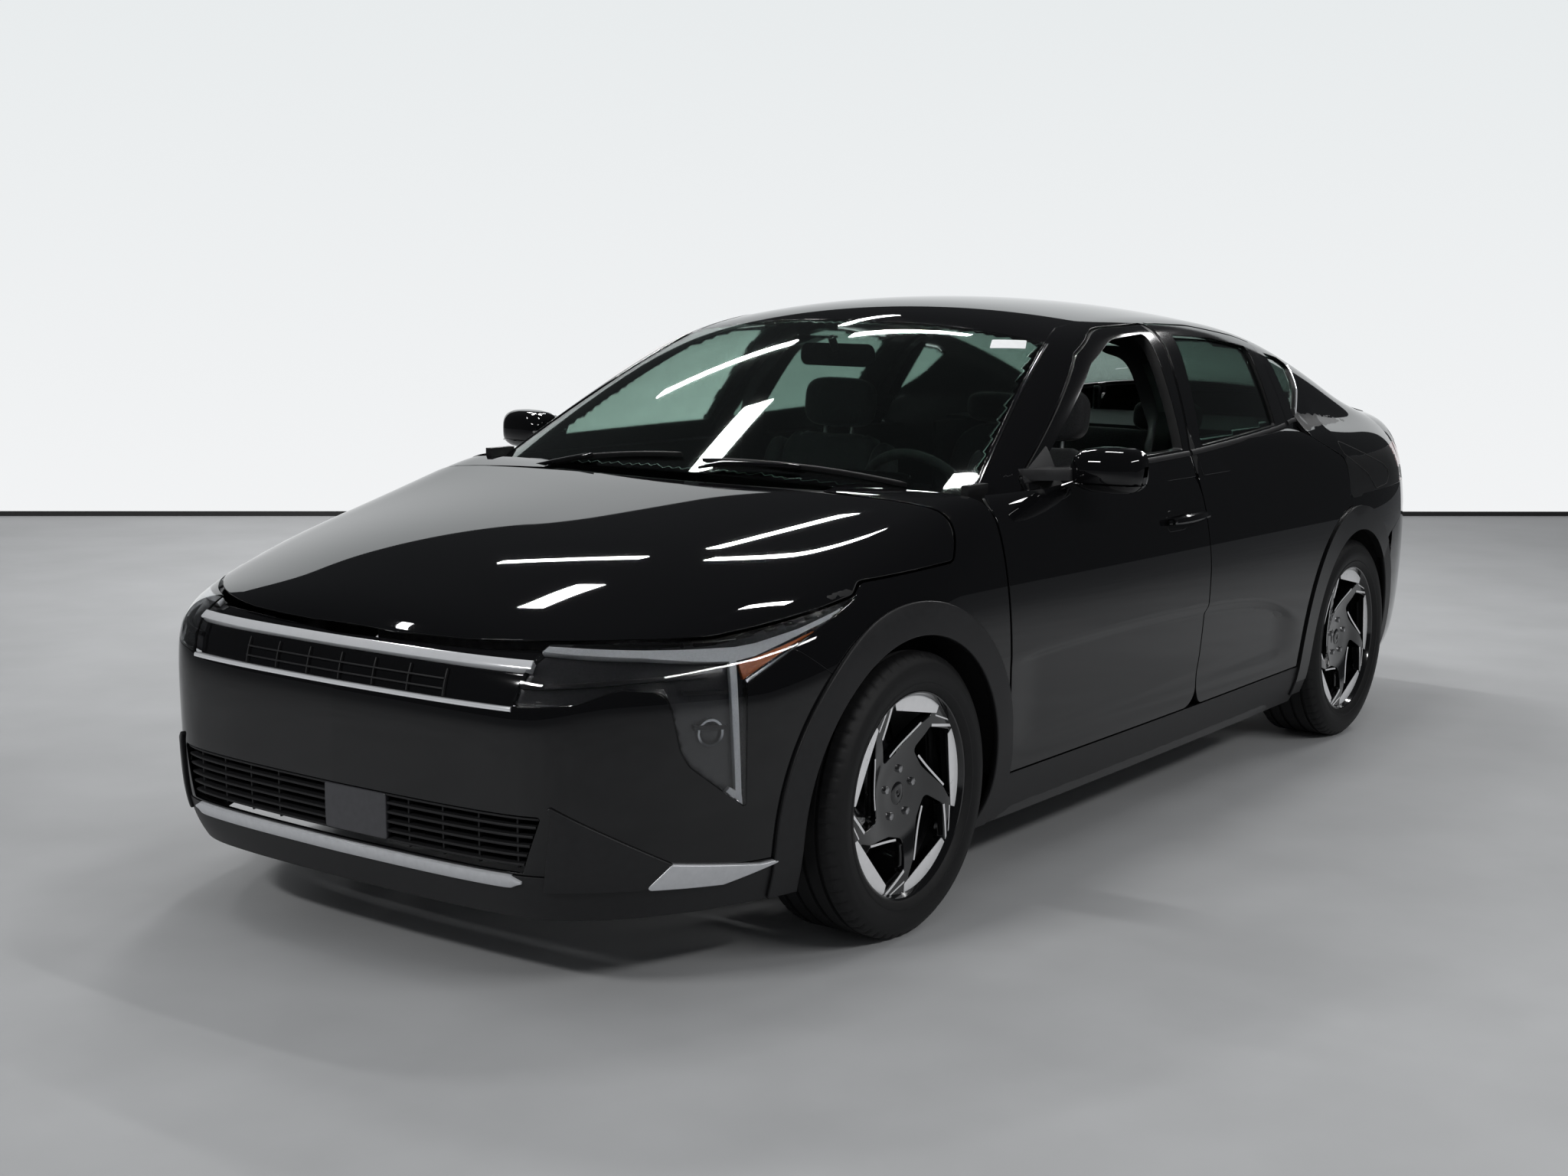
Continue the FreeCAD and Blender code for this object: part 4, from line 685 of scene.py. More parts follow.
def sweep(path, normals, profile, closed=False):
    """Bar along a path; the profile gives (sideways, outward) points, fixed or by the share of the way."""
    path = np.asarray(path, float)
    ahead = np.roll(path, -1, 0) - np.roll(path, 1, 0) if closed else np.gradient(path, axis=0)
    ahead /= np.linalg.norm(ahead, axis=1)[:, None]
    side = np.cross(ahead, np.asarray(normals, float))
    side /= np.linalg.norm(side, axis=1)[:, None]
    up = np.cross(side, ahead)
    n = len(path)
    sections = [profile(i / (n - 1)) if callable(profile) else profile for i in range(n)]
    m = len(sections[0])
    verts = [path[i] + side[i] * a + up[i] * b for i in range(n) for a, b in sections[i]]
    faces = net(n, m, closed)
    if not closed:
        faces.append(list(range(m)))
        faces.append([(n - 1) * m + k for k in range(m)][::-1])
    return np.array(verts), faces


def rounded_bar(width, low, high, r=1.0):
    """Profile of a bar with rounded upper corners."""
    h = width / 2
    r = min(r, h * 0.9, (high - low) * 0.9)
    return [(-h, low), (-h, high - r), (-h + 0.3 * r, high - 0.3 * r), (-h + r, high), (h - r, high),
            (h - 0.3 * r, high - 0.3 * r), (h, high - r), (h, low)]


def path_on(shape, line_view, line):
    """Points and normals on a shape along a line seen in a view."""
    line = np.asarray(line, float)
    start, way = views[line_view][0](line[:, 0], line[:, 1])
    p = reach(shape, start, way)
    p = p[np.isfinite(p).all(1)]
    return p, normal_at(shape, p)


def turned(profile, centre, count, wobble=None):
    """Ring turned about the Y axis; the profile's points are (radius, outward), all the way round."""
    prof = np.array(profile, float)
    angles = np.linspace(0, 2 * math.pi, count, endpoint=False)
    verts = []
    for i, a in enumerate(angles):
        r = prof[:, 0] + (wobble(i, prof) if wobble else 0)
        verts.append(np.stack([centre[0] + r * np.sin(a), centre[1] + prof[:, 1],
                               centre[2] + r * np.cos(a)], 1))
    return np.vstack(verts), net(count, len(prof), True, True)


def tidy(obj, bevel=0.0):
    """Outward faces, and optionally rounded edges."""
    bevel_from = math.radians(30)
    sharp_from = math.radians(40)
    work = bmesh.new()
    work.from_mesh(obj.data)
    bmesh.ops.recalc_face_normals(work, faces=work.faces)
    if bevel:
        sharp = [e for e in work.edges if len(e.link_faces) == 2 and e.calc_face_angle() > bevel_from]
        bmesh.ops.bevel(work, geom=sharp, offset=bevel * MM, segments=2, affect="EDGES", profile=0.5,
                        clamp_overlap=True)
    work.to_mesh(obj.data)
    work.free()
    obj.data.polygons.foreach_set("use_smooth", np.ones(len(obj.data.polygons), bool))
    obj.data.set_sharp_from_angle(angle=sharp_from)


def outline_prism(line, low, high, put):
    """Solid from an outline; put(a, b, h) gives the place of outline point (a, b) at height h."""
    n = len(line)
    verts = [put(a, b, low) for a, b in line] + [put(a, b, high) for a, b in line]
    faces = [[i, (i + 1) % n, n + (i + 1) % n, n + i] for i in range(n)]
    for base, back in ((0, True), (n, False)):
        flat = [[Vector((a, b, 0)) for a, b in line]]
        for f in geometry.tessellate_polygon(flat):
            faces.append([base + k for k in (f[::-1] if back else f)])
    return np.array(verts, float), faces


def joined(*shapes):
    """Several (points, faces) shapes as one."""
    verts, faces, base = [], [], 0
    for v, f in shapes:
        verts.append(np.asarray(v, float))
        faces += [[base + k for k in face] for face in f]
        base += len(v)
    return np.vstack(verts), faces


def block(x0, x1, y0, y1, z0, z1):
    v = [(x, y, z) for x in (x0, x1) for y in (y0, y1) for z in (z0, z1)]
    faces = [[0, 1, 3, 2], [4, 6, 7, 5], [0, 4, 5, 1], [2, 3, 7, 6], [0, 2, 6, 4], [1, 5, 7, 3]]
    return np.array(v, float), faces


# Camera at the photograph's viewing place
camera_data = bpy.data.cameras.new("camera")
camera_data.sensor_fit = "HORIZONTAL"
camera_data.sensor_width = 36.0
camera_data.lens = 47.505
camera = bpy.data.objects.new("camera", camera_data)
bpy.context.scene.collection.objects.link(camera)
camera.location = (5.3129, 3.2546, 1.4589)
view_yaw, view_pitch, view_roll = np.radians([35.224, 8.417, 0.893]).tolist()
ahead = Vector((-math.cos(view_pitch) * math.cos(view_yaw), -math.cos(view_pitch) * math.sin(view_yaw),
                -math.sin(view_pitch)))
level_right = ahead.cross(Vector((0, 0, 1))).normalized()
level_up = level_right.cross(ahead)
turned_up = level_up * math.cos(view_roll) - level_right * math.sin(view_roll)
right_way = ahead.cross(turned_up)
camera.rotation_euler = Matrix((right_way, turned_up, -ahead)).transposed().to_euler()
bpy.context.scene.camera = camera


# Outlines of the panels
split_line = [(-25, 297), (-50, 423), (-73, 697)]
hood_edge = [
    (1193, 962, 10), (1289, 839, 30), (1598, 821, 60), (1640, 797, 60), (1750, 777, 300), (1900, 754, 300),
    (2000, 741, 300), (2123, 738, 300), (2240, 732, 300), (2300, 722, 100), (nose - 15, 714, 0)]


def belt_points(start, end):
    """Door's upper edge, 12 mm under the deck's curve."""
    return [(x, float(deck_z(x)) - 12, 400) for x in np.linspace(start, end, 5).tolist()]


front_low = arc_corners(
    [(1026, 297, 20), (1048, 587, 900), (1070, 880, 300)] + belt_points(1074, -46)
    + [(x, z, 400) for x, z in reversed(split_line)])
rear_low = arc_corners(
    [(x - shut_gap, z, 400) for x, z in split_line] + belt_points(-51, -893)
    + [(-1203, 920, 40), (-1203, 297, 0)])
front_frame = arc_corners([
    (850, 940, 0), (845, 988, 8), (330, 1277, 160), (120, 1342, 500), (-203, 1352, 10), (-43, 1000, 0),
    (-40, 940, 0)])
front_window = arc_corners([
    (768, 1003, 10), (300, 1254, 120), (110, 1315, 400), (-118, 1328, 12), (-12, 1016, 10)])
rear_frame = arc_corners([
    (-57, 940, 0), (-57, 1000, 0), (-217, 1352, 10), (-500, 1344, 900), (-820, 1310, 900),
    (-930, 1288, 8), (-895, 1034, 0), (-870, 940, 0)])
rear_pane = arc_corners([
    (-134, 1019, 10), (-294, 1322, 12), (-560, 1312, 900), (-836, 1280, 12), (-774, 1046, 10)])
quarter_pane = arc_corners([
    (-955, 1064, 10), (-965, 1262, 12), (-1140, 1240, 25), (-1205, 1215, 15), (-1155, 1143, 200),
    (-1005, 1062, 15)])


def turned_point(x, radius, angle):
    a = math.radians(angle)
    return (x + radius * math.cos(a), tyre_radius + radius * math.sin(a), 0)


def mirrored_top(side, middle_first, middle_last):
    """Outline in top view from its left half."""
    return arc_corners(side + [middle_first] + [(x, -y, r) for x, y, r in reversed(side)] + [middle_last])


windshield_line = mirrored_top([(345, 590, 12), (1010, 759, 20), (1052, 757, 30), (1080, 697, 200),
    (1150, 304, 1500)], (1172, 0, 3000), (393, 0, 2500))
roof_line = mirrored_top(
    [(345, 590, 5), (220, 556, 60), (-880, 556, 60), (-1000, 572, 5)], (-1010, 0, 3000), (393, 0, 2500))
rear_glass_line = mirrored_top([(-1000, 572, 20), (-1868, 560, 30)], (-1878, 0, 3000), (-1010, 0, 3000))
fender_line = arc_corners(
    [(1031, 240, 0), (1031, 297, 0), (1053, 587, 900), (1075, 880, 300), (1079, 1000, 0), (1180, 1000, 0)]
    + [(x - 5, z - 5, r) for x, z, r in hood_edge[:3]] + [(x, z - 5, 0) for x, z, r in hood_edge[3:5]]
    + [(1850, 760, 0), (1850, 708, 0), turned_point(front_axle_x, flare_radius, 46.5),
       (front_axle_x, tyre_radius, 0), (front_axle_x, 240, 0)])
front_arch = circle(front_axle_x, tyre_radius, flare_radius - 6)
rear_arch = circle(rear_axle_x, tyre_radius, flare_radius - 6)
door_arch = circle(rear_axle_x, tyre_radius, flare_radius + 10)
lamp_corners = [(2318, 486, 735, 0), (2123, 657, 745, 0), (1900, 803, 766, 0), (1750, 845, 785, 0),
    (1632, 850, 796, 0), (1640, 850, 789, 0), (1709, 847, 762, 60), (1856, 835, 706, 60),
    (1975, 811, 651, 8), (1971, 809, 388, 5), (2094, 755, 489, 40), (2112, 746, 521, 60),
    (2127, 736, 601, 60), (2138, 725, 642, 60), (2200, 665, 652, 60), (2269, 602, 622, 40),
    (2330, 470, 612, 0)]
lamp_line = arc_corners([(slant_x * y - slant_y * x, z, r) for x, y, z, r in lamp_corners])
tail_lamp_line = arc_corners([(480, 905, 15), (480, 862, 8), (640, 838, 30), (800, 800, 25),
    (900, 800, 0), (900, 915, 0), (760, 930, 40)])
bumper_above = arc_corners([
    (1300, 900, 0), (1850, 900, 0), (1850, 708, 0), turned_point(front_axle_x, flare_radius, 46.5),
    (front_axle_x, tyre_radius, 0), (1300, tyre_radius, 0)])
under_hood = arc_corners([(1193, 0, 0)] + [(x, z - shut_gap, r) for x, z, r in hood_edge[1:]]
    + [(nose + 100, 709, 0), (nose + 100, 0, 0)])


def grille_line(y_top, y_low, z_top, z_low):
    return arc_corners([(-y_top, z_top, 6), (y_top, z_top, 6), (y_low, z_low, 6), (-y_low, z_low, 6)])


upper_grille_line = grille_line(504, 480, 760, 606)
lower_grille_line = grille_line(545, 505, 392, 272)
rear_seam = [turned_point(rear_axle_x, flare_radius, 138.5), (-1640, 640, 0), (-2050, 735, 0),
    (-2125, 750, 0), (-2500, 750, 0)]
quarter_line = arc_corners(
    [(-1000, 240, 0), (-1000, 1450, 0), (-2500, 1450, 0)] + rear_seam[::-1]
    + [(rear_axle_x, tyre_radius, 0), (rear_axle_x, 240, 0)])
rear_bumper_line = arc_corners([(rear_axle_x, 0, 0), (rear_axle_x, tyre_radius, 0)]
    + [(x, z - 3, r) for x, z, r in rear_seam] + [(-2500, 0, 0)])
outer_line = straight([(1400, 757), (1010, 759), (345, 590), (220, 556), (-880, 556), (-1000, 572),
    (-1868, 560), (-1873, lid_gap_y), (-2500, lid_gap_y)])


def outboard(p, grow=0.0):
    """Places to the left of the glass, the roof panel and the lid."""
    line = outer_line[::-1]
    return np.abs(p[:, 1]) > np.interp(p[:, 0], line[:, 0], line[:, 1]) + grow


def around(turn_low, turn_high, z0, z1):
    """Area of the nose's or the tail's view, between two turns in degrees and two heights."""
    return (turn_low * nose_scale, turn_high * nose_scale, z0, z1)


def flank(x0, x1, v0=-26, v1=42):
    """Area of the view round the car's length, between two places and two turns in degrees."""
    return (x0, x1, v0 * ring_scale, v1 * ring_scale)


# Painted skins
add("fender_skin_left", paint, skin(tub, "ring", flank(1015, 1880), [("side", fender_line)],
    [("slant", lamp_line), ("side", front_arch)], depth=5), replaces=["fender_left"])
add("front_bumper_skin", paint, skin(tub, "nose", around(-68, 68, valance_top, 735),
    [("side", under_hood)], [("side", bumper_above), ("slant", lamp_line), ("side", front_arch),
    ("front", upper_grille_line), ("front", lower_grille_line)], proud=bumper_proud,
    rule=lambda p: p[:, 2] > valance_top, lines=[(straight([(-1170, valance_top),
    (1170, valance_top)]), False)], depth=5, both=True), replaces=["front_bumper"])
hood_rear = arc_corners([
    (1240, 0, 3000), (1193, 800, 0), (1150, 1000, 0), (2500, 1000, 0), (2500, -1000, 0), (1150, -1000, 0),
    (1193, -800, 0)])
hood_side = arc_corners(hood_edge + [(nose + 100, 714, 0), (nose + 100, 1200, 0), (1193, 1200, 0)])
add("hood_skin", paint, skin(tub, "ring", (1165, nose - 12, 8 * ring_scale, 172 * ring_scale),
    [("side", hood_side), ("top", hood_rear)], proud=raised_proud, depth=4, spacing=wide_step + 4,
    both=True), "hood")
for which, low_line, frame_line, pane, x0, x1, cut in (
        ("front", front_low, front_frame, front_window, -110, 1090, []),
        ("rear", rear_low, rear_frame, rear_pane, -1230, -40, [("side", door_arch)])):
    body = which + "_left_door"
    add(which + "_door_skin_left", paint, skin(tub, "ring", flank(x0, x1, -26, 34),
        [("side", low_line)], cut, proud=door_proud, depth=4, spacing=fine), body)
    add(which + "_door_frame_left", gloss_trim,
        skin(cabin, "ring", flank(x0 - 60, x1 - 60, 18, 60), [("side", frame_line)], [("side", pane)],
        rule=lambda p: outboard(p, 6), proud=raised_proud, depth=3, spacing=fine), body)
add("quarter_skin_left", paint, skin(whole, "ring", flank(-2245, -1000, -26, 62),
    [("side", quarter_line)], [("side", rear_arch), ("side", offset_line(rear_low, shut_gap)),
    ("side", offset_line(rear_frame, shut_gap)), ("side", quarter_pane), ("rear", tail_lamp_line)],
    rule=outboard, lines=traced(whole, "ring", "top", outer_line, False)
    + traced(whole, "ring", "rear", straight([(lid_gap_y, 740), (lid_gap_y, 1080)]), False),
    proud=panel_proud, depth=3))
add("roof_rail_skin_left", paint, skin(cabin, "ring", flank(-1000, 1068, 20, 64), [],
    [("side", offset_line(front_frame, shut_gap)), ("side", offset_line(rear_frame, shut_gap))],
    rule=lambda p: outboard(p) & (p[:, 2] > rail_low),
    lines=traced(cabin, "ring", "top", outer_line, False)
    + [(np.array([(-999.5, v) for v in range(300, 970, 6)], float), False)], proud=panel_proud,
    depth=3, spacing=fine))
add("roof_skin", paint, skin(cabin, "top", (-1050, 430, -640, 640), [("top", roof_line)], depth=6,
    spacing=wide_step + 8), replaces=["roof_panel"])
lid_shell = skin(whole, "lid", (-lid_half, lid_half, 44 * lid_scale, 216 * lid_scale), [],
    rule=lambda p: (p[:, 0] < lid_front) & (p[:, 2] > lid_low),
    lines=[(np.array([(s * (lid_half - 0.2), v) for v in range(240, 1320, 6)], float), False)
    for s in (1, -1)] + traced(whole, "lid", "top",
    straight([(lid_front, -lid_half), (lid_front, lid_half)]), False)
    + traced(whole, "lid", "rear", straight([(-lid_half, lid_low), (lid_half, lid_low)]), False),
    proud=panel_proud, depth=3)
lip_start, lip_share = -2336.0, 0.6
lip_reach = np.minimum(lid_shell[0][:, 0] - lip_start, 0)
lid_shell[0][:, 0] -= lip_reach * (1 - lip_share)
add("lid_skin", paint, lid_shell, "trunk_lid")
add("rear_bumper_skin", paint, skin(whole, "tail", around(-66, 66, 165, 780),
    [("side", rear_bumper_line)], [("side", rear_arch)], rule=lambda p: p[:, 2] > sill_low,
    proud=bumper_proud, lines=[(straight([(-1150, sill_low), (1150, sill_low)]), False)], depth=5,
    both=True), replaces=["rear_bumper"])
add("front_valance_skin", satin, skin(tub, "nose", around(-66, 66, 160, 275), [],
    [("side", circle(front_axle_x, tyre_radius, valance_arch))], rule=lambda p: (p[:, 2] > 165)
    & (p[:, 2] < valance_top - 3), lines=[(straight([(-1150, z), (1150, z)]), False)
    for z in (165, valance_top - 3)], depth=20, both=True), replaces=["front_valance"])
rocker_line = arc_corners([(-889, sill_low, 0), (-889, 290, 0), (1025, 290, 0), (1025, 240, 0),
                           (rocker_front, 240, 0), (rocker_front, sill_low, 0)])
add("rocker_skin_left", satin, skin(tub, "side", (-895, 1105, 160, 296), [("side", rocker_line)],
    [("side", circle(rear_axle_x, tyre_radius, arch_radius)),
    ("side", circle(front_axle_x, tyre_radius, arch_radius))], proud=panel_proud, depth=3))

# Glass
add("windshield_glass", belt_glass, skin(cabin, "top", (300, 1180, -770, 770),
    [("top", windshield_line)], depth=5, spacing=pane_step, roll=0.5), replaces=["windshield"])
add("rear_window_glass", dark_glass, skin(whole, "top", (-1890, -990, -620, 620),
    [("top", rear_glass_line)], depth=5, spacing=pane_step, roll=0.5), replaces=["rear_window"])
scuttle_line = mirrored_top([(-1875, 560, 4), (lid_front + 4, 560, 4)], (lid_front + 4, 0, 3000),
    (-1883, 0, 3000))
add("boot_seal", seal, skin(whole, "top", (-1915, -1865, -600, 600), [("top", scuttle_line)],
    rule=lambda p: np.abs(np.abs(p[:, 1]) - lid_arm_y) > notch,
    lines=[(straight([(-1915, side * lid_arm_y + edge), (-1865, side * lid_arm_y + edge)]), False)
    for side in (1, -1) for edge in (notch, -notch)], proud=-4, depth=5, spacing=pane_step, roll=1.5))
for name, body, pane, shape, area, node in (
        ("rear_door_glass_left", "rear_left_door", rear_pane, cabin, flank(-860, -110, 22, 56),
         ["rear_glass_left"]),
        ("quarter_glass_left", "car_body", quarter_pane, whole, flank(-1230, -940, 22, 56),
         ["quarter_glass"])):
    add(name, dark_glass, skin(shape, "ring", area, [("side", offset_line(pane, -0.3))],
        proud=-glass_back, depth=5, spacing=pane_step, roll=0.4), body, replaces=node)
driver_side = skin(cabin, "ring", flank(-140, 790, 20, 56), [("side", offset_line(front_window, -0.3))],
                   proud=-glass_back, depth=5, spacing=pane_step, roll=0.4)
piece("front_door_glass_right", belt_glass, driver_side[0] * to_right, [f[::-1] for f in driver_side[1]],
      driver_side[2] * to_right, "front_right_door", replaces=["front_glass_right"])


def ribbon(shape, view, line, width, low, high, closed=False, r=1.0, taper=0.0):
    """Bar that follows a line on a surface."""
    path, normals = path_on(shape, view, line)

    def section(t):
        ends = min(1.0, min(t, 1 - t) / taper + 0.15) if taper else 1.0
        return rounded_bar(width * ends, low, high, r)
    return sweep(path, normals, section, closed)


# Wheel arch bands
arch_band = {
    "front": (tub, front_axle_x, 170.0),
    "rear": (whole, rear_axle_x, 196.0)}
for which, (shape, x, low) in arch_band.items():
    edge = traced(shape, "ring", "side", straight([(x - 450, low), (x + 450, low)]), False)
    add(which + "_flare_left", satin, skin(shape, "ring", flank(x - 446, x + 446, -28, 24),
        [("side", circle(x, tyre_radius, flare_radius - 1))],
        [("side", circle(x, tyre_radius, arch_radius + 1))], rule=lambda p, low=low: p[:, 2] > low,
        lines=edge, proud=flare_height - 0.5, depth=15, roll=3.5, spacing=fine))

# Wheels
spoke_turns = [2 * math.pi * k / 5 for k in range(5)]
wheel_window = arc_corners(
    [(52, 94, 14), (101, 139, 8), (182, 119, 8), (205, -62, 8), (165.6, -11.3, 60), (88, 50, 18)], 3.0)
face_height = spline([(0, 60), (30, 61), (60, 64), (92, 67), (150, 80), (200, 85), (229, 84)])


def rotated(line, turn):
    c, s = math.cos(turn), math.sin(turn)
    return np.stack([line[:, 0] * c - line[:, 1] * s, line[:, 0] * s + line[:, 1] * c], 1)


def on_face(x):
    """Places on a wheel's face; a runs toward the car's rear and b upward from the wheel's middle."""
    def place(flat):
        a, b = flat[:, 0], flat[:, 1]
        r = np.maximum(np.hypot(a, b), 1)
        slope = (face_height(r + 1) - face_height(r - 1)) / 2
        p = np.stack([x - a, track_half + face_height(r), tyre_radius + b], 1)
        n = np.stack([slope * a / r, np.ones(len(a)), -slope * b / r], 1)
        return p, n / np.linalg.norm(n, axis=1)[:, None]
    return place


def face_patch(x, outlines, proud, depth, spacing, roll):
    """Thin patches on the wheel's face."""
    shapes = []
    for line in outlines:
        area = (line[:, 0].min(), line[:, 0].max(), line[:, 1].min(), line[:, 1].max())
        points, normals, tri = triangles(on_face(x), [(line, True)],
            lambda f, p, line=line: inside(line, f[:, 0], f[:, 1]), area, spacing)
        shapes.append(shell(points, normals, tri, proud, depth, roll))
    verts, faces = joined(*[(s[0], s[1]) for s in shapes])
    return verts, faces, np.vstack([s[2] for s in shapes])


def crescent(radius, start, end, chord):
    a = np.radians(np.linspace(start, end, 40))
    arc = np.stack([radius * np.sin(a), radius * np.cos(a)], 1)
    return np.vstack([arc, straight([arc[-1], arc[-1] * chord, arc[0] * chord, arc[0]], 4)[1:-1]])


def thin_box(p, q, width):
    p, q = np.array(p, float), np.array(q, float)
    side = np.array([-(q - p)[1], (q - p)[0]]) / np.linalg.norm(q - p) * width / 2
    return straight([p + side, q + side, q - side, p - side, p + side], 4)[:-1]


def groove_section(crown, half, grooves, depth):
    """Tread from the outer shoulder to the inner one with square grooves round it."""
    points = [(crown - 9, half - 15), (crown - 3, half - 21), (crown - 0.8, half - 28)]
    for centre in grooves:
        points += [(crown - 0.4, centre + 5.5), (crown - depth, centre + 4.5),
            (crown - depth, centre - 4.5), (crown - 0.4, centre - 5.5)]
    return points + [(crown - 0.8, 28 - half), (crown - 3, 21 - half), (crown - 9, 15 - half)]


side_wall = [(236, 96), (241, 102), (247, 104), (252, 108.5), (256, 109), (258, 108), (270, 111.5),
    (284, 112.2), (286, 111.6), (296, 110.5), (304, 107), (311, 101)]
tyre_section = (side_wall + groove_section(tyre_radius, tyre_width / 2, (62, 22, -22, -62), 6.5)
    + [(r, -o) for r, o in reversed(side_wall)]
    + [(240, -88), (298, -92), (309, -60), (312, 0), (309, 60), (298, 92), (240, 88)])
barrel_section = [(232, 97.5), (235, 98.5), (238.5, 97), (239, 92), (237, 88), (231, 84), (229, 60),
    (229, -84), (236, -88), (238.5, -92), (238, -98), (232, -98.3), (222, -90), (214, -60), (211, 20),
    (215, 60), (224, 80), (229, 92)]
disc_section = [(60, -38), (136, -38), (140, -39.5), (140, -58.5), (136, -60), (60, -60)]
bell_section = [(4, -10), (62, -10), (68, -14), (70, -38), (70, -44), (4, -44)]
cap_section = [(0.5, 63.5), (14, 63.2), (24, 62), (29, 59.5), (30.5, 56), (30.5, 44), (0.5, 44)]


def tread_blocks(i, prof):
    """Cross cuts in the tyre's shoulders."""
    cut = (prof[:, 0] > tyre_radius - 10) & (np.abs(prof[:, 1]) > 70)
    return np.where(cut & (i % 6 == 0), -4.0, 0.0)


for which, x in (("front", front_axle_x), ("rear", rear_axle_x)):
    wheel = which + "_left_wheel"
    centre = (x, track_half, tyre_radius)
    add(which + "_tyre_tread_left", rubber, turned(tyre_section, centre, window_count * 2,
        tread_blocks), wheel, replaces=[which + "_tyre_left"])
    rim_node = [which + "_rim_left"]
    windows = [rotated(wheel_window, t) for t in spoke_turns]
    rim = circle(0, 0, face_radius, 240)

    def kept(flat, p, windows=windows):
        good = np.hypot(flat[:, 0], flat[:, 1]) < face_radius - 0.1
        for w in windows:
            good &= ~inside(w, flat[:, 0], flat[:, 1])
        return good
    points, normals, tri = triangles(on_face(x), [(rim, True)] + [(w, True) for w in windows], kept,
                                     (-230, 230, -230, 230), wheel_step)
    add(which + "_wheel_face_left", wheel_black, shell(points, normals, tri, 0, 26, 2.2), wheel,
        replaces=rim_node)
    add(which + "_wheel_barrel_left", wheel_black, turned(barrel_section, centre, window_count), wheel,
        replaces=rim_node)
    bright = []
    for t in spoke_turns:
        for line in (crescent(226, -14, 36, 0.915), thin_box((104, 142), (189, 128), 6.5),
                     thin_box((118, 163), (180, 142), 3.5), thin_box((-49, 93), (60, 155), 5.0)):
            bright.append(rotated(line, t))
    add(which + "_wheel_machined_left", machined, face_patch(x, bright, 0.9, 1.5, 9.0, 0.5), wheel,
        replaces=rim_node)
    add(which + "_wheel_cap_left", wheel_black, (*turned(cap_section, centre, 64), None), wheel,
        replaces=rim_node)
    add(which + "_brake_disc_left", steel, joined(turned(disc_section, centre, 96),
        turned(bell_section, centre, 64)), wheel, slot="cast_metal", replaces=rim_node)
    nuts = []
    for t in spoke_turns:
        hexagon = [(nut_circle * math.sin(t) + 9.5 * math.cos(math.pi * k / 3),
                    nut_circle * math.cos(t) + 9.5 * math.sin(math.pi * k / 3)) for k in range(6)]
        nuts.append(outline_prism(hexagon, 58, 70,
            lambda a, b, h, x=x: (x - a, track_half + h, tyre_radius + b)))
    add(which + "_wheel_nuts_left", steel, joined(*nuts), wheel, slot="wheel_alloy", bevel=1.2)
    carrier = "left_knuckle" if which == "front" else "car_body"
    sweep_angles = np.radians(np.linspace(60, 112, 14))
    caliper = []
    for low, high, inner, outer in ((-36, -24, 92, 156), (-74, -63, 92, 156), (-74, -24, 144, 160)):
        ring = [(r * math.cos(a), r * math.sin(a)) for r, way in ((outer, 1), (inner, -1))
                for a in sweep_angles[::way]]
        caliper.append(outline_prism(
            ring, low, high, lambda a, b, h, x=x: (x - b, track_half + h, tyre_radius + a)))
    add(which + "_caliper_left", cast, joined(*caliper), carrier, bevel=2.0)


# Headlamps: dark housing, light pipes, amber wedge, projector, and a clear lens in front
def lamp_patch(name, corners, mat, proud, depth, roll=1.0):
    """Plate on the lamp's slanted face."""
    add(name, mat, skin(
        tub, "slant", (-1215, -440, 370, 800), [("slant", arc_corners(corners, 5.0)), ("slant", lamp_line)],
        [("front", upper_grille_line)], proud=proud, depth=depth, spacing=7.0, roll=roll),
        slot="lamp_lens", replaces=["headlamps"])


lamp_area = around(17, 75, 372, 800)
for name, mat, proud, depth, step in (("headlamp_lens_left", lens_glass, 0.0, 2.5, fine),
                                      ("headlamp_housing_left", dark_bezel, -20.0, 22.0, wide_step)):
    add(name, mat, skin(tub, "nose", lamp_area,
        [("slant", offset_line(lamp_line, -0.5)), ("side", under_hood)],
        [("front", upper_grille_line)], proud=proud, depth=depth, spacing=step, roll=0.8),
        slot="lamp_lens", replaces=["headlamps"])
lamp_patch("headlamp_pipe_left", [(-1186, 727), (-932, 723), (-743, 722), (-699, 726), (-600, 746),
    (-520, 769), (-464, 786), (-478, 778), (-530, 757), (-620, 728), (-700, 702), (-745, 695),
    (-800, 698), (-932, 710), (-1186, 719)], light_pipe, -3.5, 12)
lamp_patch("headlamp_drop_left", [
    (-756, 699), (-741, 699), (-727, 420), (-724, 396), (-748, 408), (-764, 424), (-752, 436), (-740, 428)],
    light_pipe, -3.8, 12)
lamp_patch("headlamp_amber_left", [
    (-736, 690), (-640, 716), (-556, 743), (-622, 714), (-690, 678), (-726, 658)], amber, -4.2, 10)
lamp_patch("headlamp_edge_left", [(-722, 657), (-690, 674), (-621, 709), (-560, 738), (-514, 757),
    (-560, 733), (-621, 703), (-690, 668), (-719, 651)], chrome, -3.2, 6, 0.6)
for k, (z, width) in enumerate(((640, 100), (566, 76))):
    lamp_patch("headlamp_ledge_%d_left" % k,
        [(-752 - width, z + 5), (-760, z), (-760, z - 8), (-752 - width, z - 4)], satin, -8, 12)
lamp_patch("headlamp_inner_left", [(-1180, 660), (-1000, 672), (-900, 676), (-800, 676), (-800, 668),
    (-900, 668), (-1000, 662), (-1180, 650)], satin, -9, 10)
eye_path, eye_normal = path_on(tub, "slant", [(-792, 553)])
eye_turn = Vector(eye_normal[0]).to_track_quat("Z", "Y").to_matrix()


